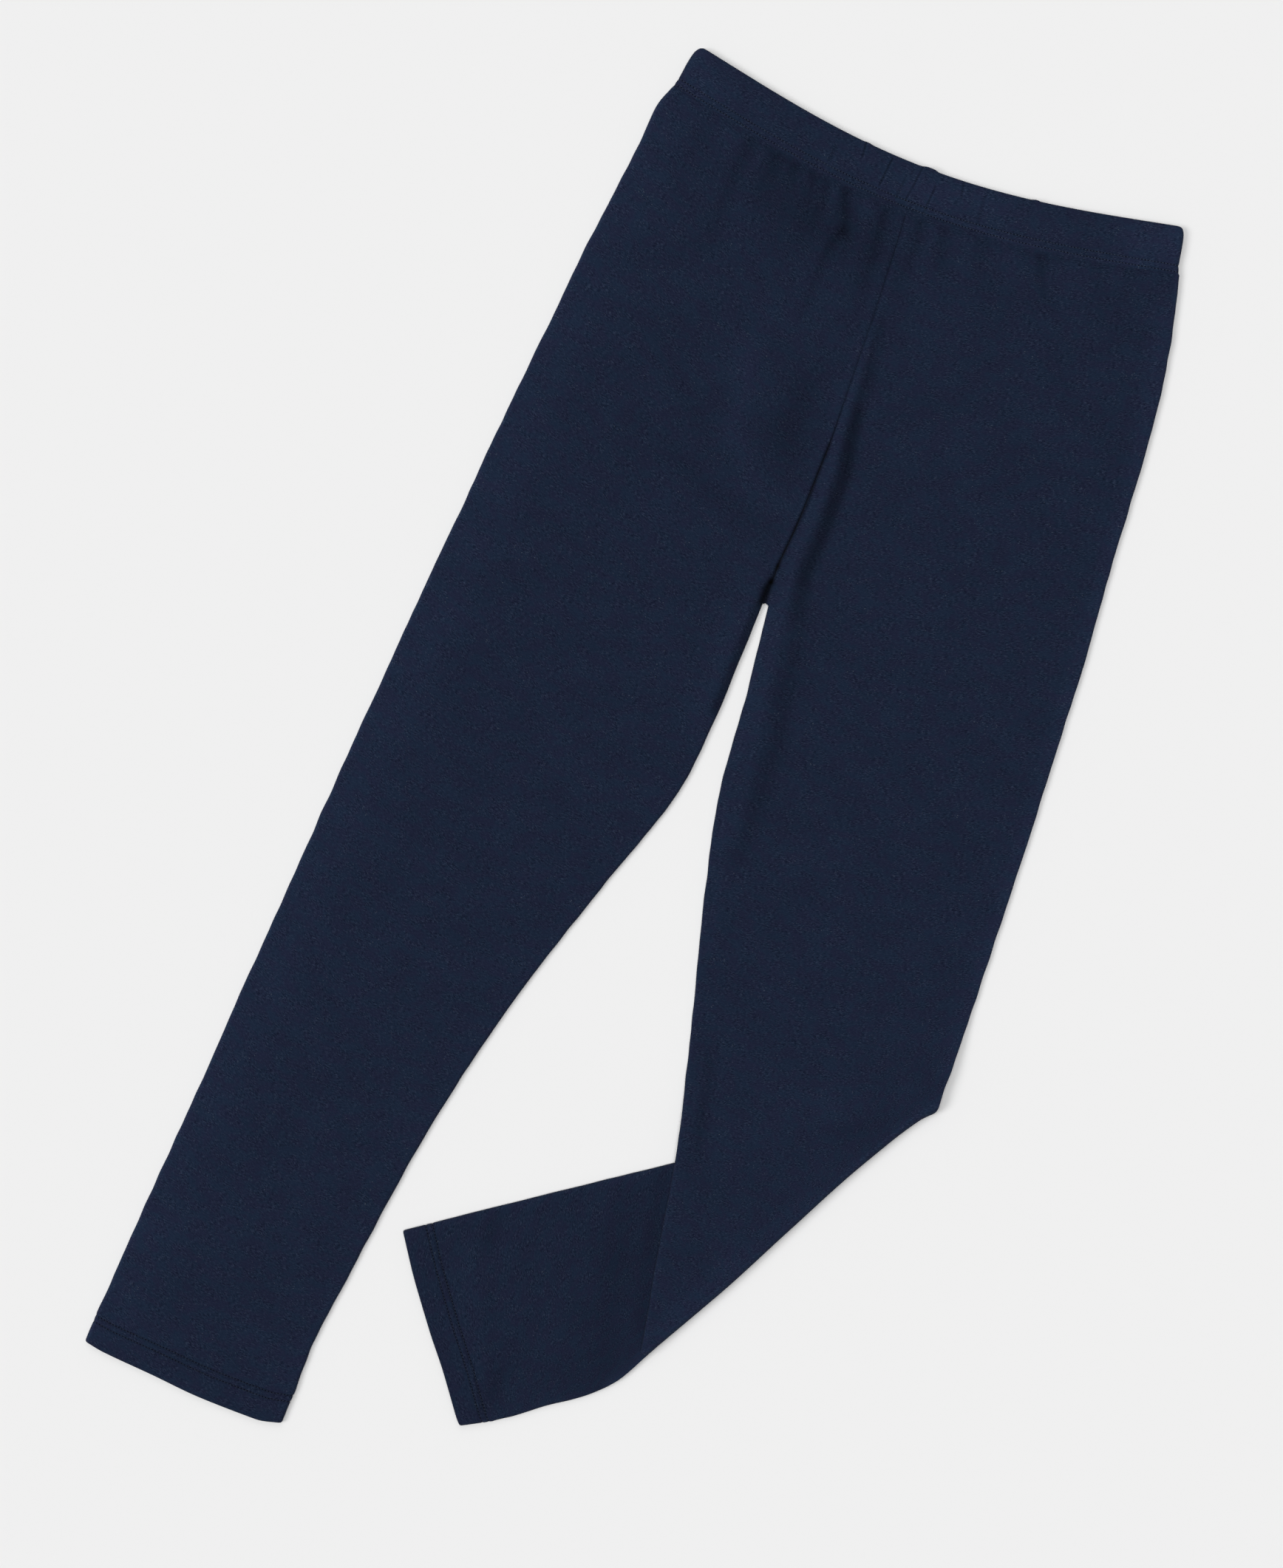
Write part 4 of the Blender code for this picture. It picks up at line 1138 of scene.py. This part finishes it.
def make_leg(is_left, cloth_material, hem_material, thread):
    """One leg with its hem and the hem's stitches."""
    side = "left" if is_left else "right"
    if is_left:
        upper = [torso_rows(True), leg_rows(LEFT_LEG, 0), bend_rows(), leg_rows(LEFT_LOWER_LEG, 180)[:-1]]
        hem = hem_rows(LEFT_LOWER_LEG, LEFT_FOOT, 180)
    else:
        upper = [torso_rows(False), leg_rows(RIGHT_LEG, 0)[:-1]]
        hem = hem_rows(RIGHT_LEG, RIGHT_FOOT, 0)
    rows = np.concatenate([*upper, hem])
    closed = np.arange(len(rows)) >= len(upper[0])
    waver(rows, closed)
    marks = ring_marks(FRONT_SPANS, BACK_SPANS, EDGE_SPANS)
    inner_marks = ring_marks(INNER_FRONT_SPANS, INNER_BACK_SPANS, INNER_EDGE_SPANS)
    skin, tones = leg_skin(rows, marks, pulled_in(rows), is_left)
    cloth = cloth_places(skin)
    split = len(rows) - len(hem)

    leg = Shell()
    chosen = np.unique([*range(0, split, INNER_ROW_SKIP), split])
    lining = leg_skin(rows[chosen], inner_marks, WALL, is_left)[0]
    outer, inner = add_wall(
        leg, skin[:split + 1], tones[:split + 1], cloth[:split + 1], closed[:split + 1],
        lining, closed[chosen], marks, inner_marks,
    )
    opened = int(np.argmax(closed)) + 1
    inner_opened = int(np.argmax(closed[chosen])) + 1
    outer_rows = np.arange(opened, dtype=float)
    inner_rows = chosen[:inner_opened].astype(float)
    leg.join_rings(outer[:opened, 0], outer_rows, inner[:inner_opened, 0], inner_rows, cloth[0, 0])
    leg.join_rings(inner[:inner_opened, -1], inner_rows, outer[:opened, -1], outer_rows, cloth[0, 0])
    leg_piece = leg.piece(f"{side}_leg_cloth", cloth_material, mirrored=not is_left)

    hem_skin = skin[split:]
    shares = np.array(HEM)[:, 0]
    seams = [int(np.argmin(np.abs(shares - seam))) for seam in HEM_SEAMS]
    stitch_map, count = stitch_places(hem_skin, seams[0], shares * HEM_DEPTH)
    hem_shell = Shell()
    hem_lining = leg_skin(rows[split:], inner_marks, HEM_WALL - rows[split:, None, ROUNDING], is_left)[0]
    hem_cloth = np.concatenate([cloth[split:], stitch_map], axis=-1)
    add_wall(
        hem_shell, hem_skin, tones[split:], hem_cloth, closed[split:],
        hem_lining, closed[split:], marks, inner_marks,
    )
    hem_piece = hem_shell.piece(f"{side}_hem_cloth", hem_material, mirrored=not is_left)
    stitches = seam_threads(
        f"{side}_hem_stitches", hem_skin, seams, stitch_map[0, :, 0], count, thread,
        seed=STITCH_SEEDS[side], mirrored=not is_left,
    )
    return leg_piece, hem_piece, stitches


def make_band(material, thread):
    """The waistband and its stitches."""
    rows = band_rows()
    marks = band_marks()
    inner_marks = ring_marks(4 * INNER_FRONT_SPANS, 2 * INNER_BACK_SPANS, INNER_EDGE_SPANS)
    skin, tones = band_skin(rows, marks, pulled_in(rows))
    downs = -rows[:, OUTER_Y]
    seams = [int(np.argmin(np.abs(downs - seam))) for seam in BAND_SEAMS]
    stitch_map, count = stitch_places(skin, seams[0], downs)
    edge_rows = len(BAND_EDGE_TURNS) + 1
    chosen = np.unique([*range(edge_rows), *range(edge_rows, len(rows), 2), len(rows) - 1])
    lining = band_skin(rows[chosen], inner_marks, BAND_WALL - rows[chosen, None, ROUNDING])[0]
    shell = Shell()
    cloth = np.concatenate([cloth_places(skin), stitch_map], axis=-1)
    every = np.ones(len(rows), bool)
    add_wall(shell, skin, tones, cloth, every, lining, every[:len(chosen)], marks, inner_marks)
    band = shell.piece("waistband_cloth", material)
    stitches = seam_threads(
        "waistband_stitches", skin, seams, stitch_map[0, :, 0], count, thread, STITCH_SEEDS["waist"]
    )
    return band, stitches


def jersey_group():
    """Fine single jersey: small V-shaped loops, short slanting fibres, dark pits between them, a
    little pale lint, and soft patches of a greener and a redder navy."""
    inputs = {name: "Color" for name in JERSEY_COLOURS}
    outputs = {"Colour": "Color", "Roughness": "Float", "Height": "Float"}
    group, tree = new_group("ShaderNodeTree", "fine jersey", inputs, outputs)
    given = tree.node("NodeGroupInput").outputs
    x, y = tree.split(tree.node("ShaderNodeUVMap", uv_map="cloth").outputs["UV"])
    patches = tree.noise(x, y, *PATCHES)
    colour = tree.mix(tree.range(patches, *PATCH_VALUES), given["Green navy"], given["Red navy"])
    crowd = tree.range(tree.noise(x, y, *CROWDS), *CROWD_VALUES, LEAST_CROWDED)
    fibres = []
    pits = []
    for slant, layer in SLANTS:
        along = tree.math("ADD", x, tree.math("MULTIPLY", y, slant))
        across = tree.math("SUBTRACT", y, tree.math("MULTIPLY", x, slant))
        dashes = tree.noise(along, across, *DASH, layer, DASH_DETAIL)
        fibres.append(tree.range(dashes, *FIBRE_VALUES))
        pits.append(tree.range(dashes, *PIT_VALUES))
    fibre = tree.math("MULTIPLY", tree.math("MAXIMUM", *fibres), crowd)
    pit = tree.math("MULTIPLY", tree.math("MAXIMUM", *pits), crowd)
    colour = tree.mix(fibre, tree.mix(pit, colour, given["Pit"]), given["Fibre"])
    specks = tree.range(tree.noise(x, y, *SPECKS), *SPECK_VALUES)
    linty = tree.range(tree.noise(x, y, *LINTY_PLACES), *LINTY_VALUES)
    colour = tree.mix(tree.math("MULTIPLY", specks, linty), colour, given["Lint"])
    wale = tree.math("PINGPONG", x, HALF_WALE)
    lean = tree.math("ADD", tree.math("DIVIDE", y, COURSE), tree.math("MULTIPLY", wale, LOOP_LEAN))
    course = tree.math("SINE", tree.math("MULTIPLY", lean, 2 * math.pi))
    column = tree.math("SINE", tree.math("MULTIPLY", wale, math.pi / HALF_WALE))
    loops = tree.math("ADD", tree.math("MULTIPLY", course, LOOP_ROUND), column)
    fuzz = tree.math("SUBTRACT", fibre, pit)
    # The tone attribute brings each piece's painted light and shade into its colour
    tone = tree.node("ShaderNodeAttribute", attribute_name="tone").outputs["Fac"]
    mottled = tree.range(tree.noise(x, y, *MOTTLES), *MOTTLE_VALUES, *MOTTLE_TONES)
    toned = tree.node("ShaderNodeVectorMath", {0: colour}, operation="SCALE")
    tree.fill(toned.inputs["Scale"], tree.math("MULTIPLY", tone, mottled))
    tree.node("NodeGroupOutput", {
        "Colour": toned.outputs["Vector"],
        "Roughness": tree.range(patches, *ROUGH_VALUES, *ROUGHNESSES),
        "Height": tree.math("ADD", tree.math("MULTIPLY", loops, LOOP_HEIGHT), fuzz),
    })
    return group


def holes_group():
    """Needle holes along the two rows of a seam: 1 in a hole, 0 elsewhere."""
    inputs = {"First seam": "Float", "Second seam": "Float"}
    group, tree = new_group("ShaderNodeTree", "needle holes", inputs, {"Holes": "Float"})
    given = tree.node("NodeGroupInput").outputs
    number, down = tree.split(tree.node("ShaderNodeUVMap", uv_map="stitches").outputs["UV"])
    along = tree.math("MULTIPLY", tree.math("PINGPONG", number, 0.5), 2 * STITCH_PITCH / HOLE_LENGTH)
    holes = []
    for name in inputs:
        away = tree.math("DIVIDE", tree.math("SUBTRACT", down, given[name]), HOLE_WIDTH / 2)
        squares = tree.math("ADD", tree.math("MULTIPLY", along, along), tree.math("MULTIPLY", away, away))
        holes.append(tree.range(tree.math("SQRT", squares), *HOLE_EDGE, 1.0, 0.0))
    depth = tree.range(tree.noise(number, down, *HOLE_DEPTHS), *HOLE_VALUES, SHALLOWEST_HOLE)
    tree.node("NodeGroupOutput", {
        "Holes": tree.math("MULTIPLY", tree.math("MAXIMUM", *holes), depth),
    })
    return group


def new_material(name, finish):
    """A material with some constant looks, its node tree and its shader's sockets."""
    material = bpy.data.materials.new(name)
    material.use_nodes = True
    sockets = material.node_tree.nodes["Principled BSDF"].inputs
    for socket, value in finish.items():
        sockets[socket].default_value = value
    return material, Tree(material.node_tree), sockets


def jersey_material(name, jersey, holes=None, seams=()):
    material, tree, sockets = new_material(name, JERSEY_FINISH)
    cloth = tree.node("ShaderNodeGroup", node_tree=jersey)
    for socket, value in JERSEY_COLOURS.items():
        cloth.inputs[socket].default_value = value
    colour = cloth.outputs["Colour"]
    if holes:
        pierced = tree.node("ShaderNodeGroup", node_tree=holes)
        pierced.inputs["First seam"].default_value = seams[0]
        pierced.inputs["Second seam"].default_value = seams[1]
        # Painted shade in the needle holes
        colour = tree.mix(pierced.outputs["Holes"], colour, HOLE)
    bump = tree.node("ShaderNodeBump", {
        "Strength": BUMP_STRENGTH,
        "Distance": BUMP_DEEP,
        "Height": cloth.outputs["Height"],
    })
    tree.fill(sockets["Base Color"], colour)
    tree.fill(sockets["Roughness"], cloth.outputs["Roughness"])
    tree.fill(sockets["Normal"], bump.outputs["Normal"])
    return material


def lay_floor():
    mesh = bpy.data.meshes.new("floor")
    half = FLOOR_SIZE / 2
    corners = [(-half, -half, 0), (half, -half, 0), (half, half, 0), (-half, half, 0)]
    mesh.from_pydata(corners, [], [(0, 1, 2, 3)])
    mesh.materials.append(new_material("pale floor", FLOOR_FINISH | {"Base Color": FLOOR})[0])
    floor = put_in_scene("floor", mesh)
    return floor


def set_camera():
    data = bpy.data.cameras.new("camera")
    data.lens = LENS
    data.sensor_width = SENSOR
    data.clip_end = FARTHEST_SEEN
    camera = put_in_scene("camera", data)
    x, y = (np.array(PICTURE_MIDDLE) - MIDDLE) * MM
    distance = PICTURE_LONG_SIDE * MM / SENSOR * LENS
    place = Matrix.Translation((x, y, CLOTH_HEIGHT * MM + distance))
    camera.matrix_world = place @ Matrix.Rotation(math.radians(CAMERA_TURN), 4, "Z")
    bpy.context.scene.camera = camera


def light_studio():
    world = bpy.data.worlds.new("studio")
    world.use_nodes = True
    sky = world.node_tree.nodes["Background"]
    sky.inputs["Color"].default_value = (1, 1, 1, 1)
    sky.inputs["Strength"].default_value = SKY
    bpy.context.scene.world = world
    for name, heading, above, width, strength in LAMPS:
        data = bpy.data.lights.new(name, "SUN")
        data.energy = strength
        data.angle = math.radians(width)
        lamp = put_in_scene(name, data)
        heading, above = math.radians(heading + CAMERA_TURN), math.radians(above)
        level = math.cos(above)
        source = Vector((math.cos(heading) * level, math.sin(heading) * level, math.sin(above)))
        lamp.rotation_mode = "QUATERNION"
        lamp.rotation_quaternion = source.to_track_quat("Z", "Y")
    bpy.context.scene.view_settings.view_transform = "Standard"


def main():
    floor = lay_floor()
    set_camera()
    light_studio()
    jersey, holes = jersey_group(), holes_group()
    plain = jersey_material("navy jersey", jersey)
    hemmed = jersey_material("navy jersey hem", jersey, holes, [share * HEM_DEPTH for share in HEM_SEAMS])
    cased = jersey_material("navy jersey casing", jersey, holes, BAND_SEAMS)
    hem_thread = new_material("navy hem thread", THREAD_FINISH | {"Base Color": HEM_THREAD})[0]
    band_thread = new_material("navy band thread", THREAD_FINISH | {"Base Color": BAND_THREAD})[0]
    for is_left in (False, True):
        side = "left" if is_left else "right"
        leg, hem, stitches = make_leg(is_left, plain, hemmed, hem_thread)
        for piece, node in ((leg, f"leg_{side}"), (hem, f"hem_{side}")):
            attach(piece, "root")
            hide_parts(node)
        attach(stitches, "root")
    band, stitches = make_band(cased, band_thread)
    for piece in (band, stitches):
        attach(piece, "root")
    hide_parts("waistband")


main()
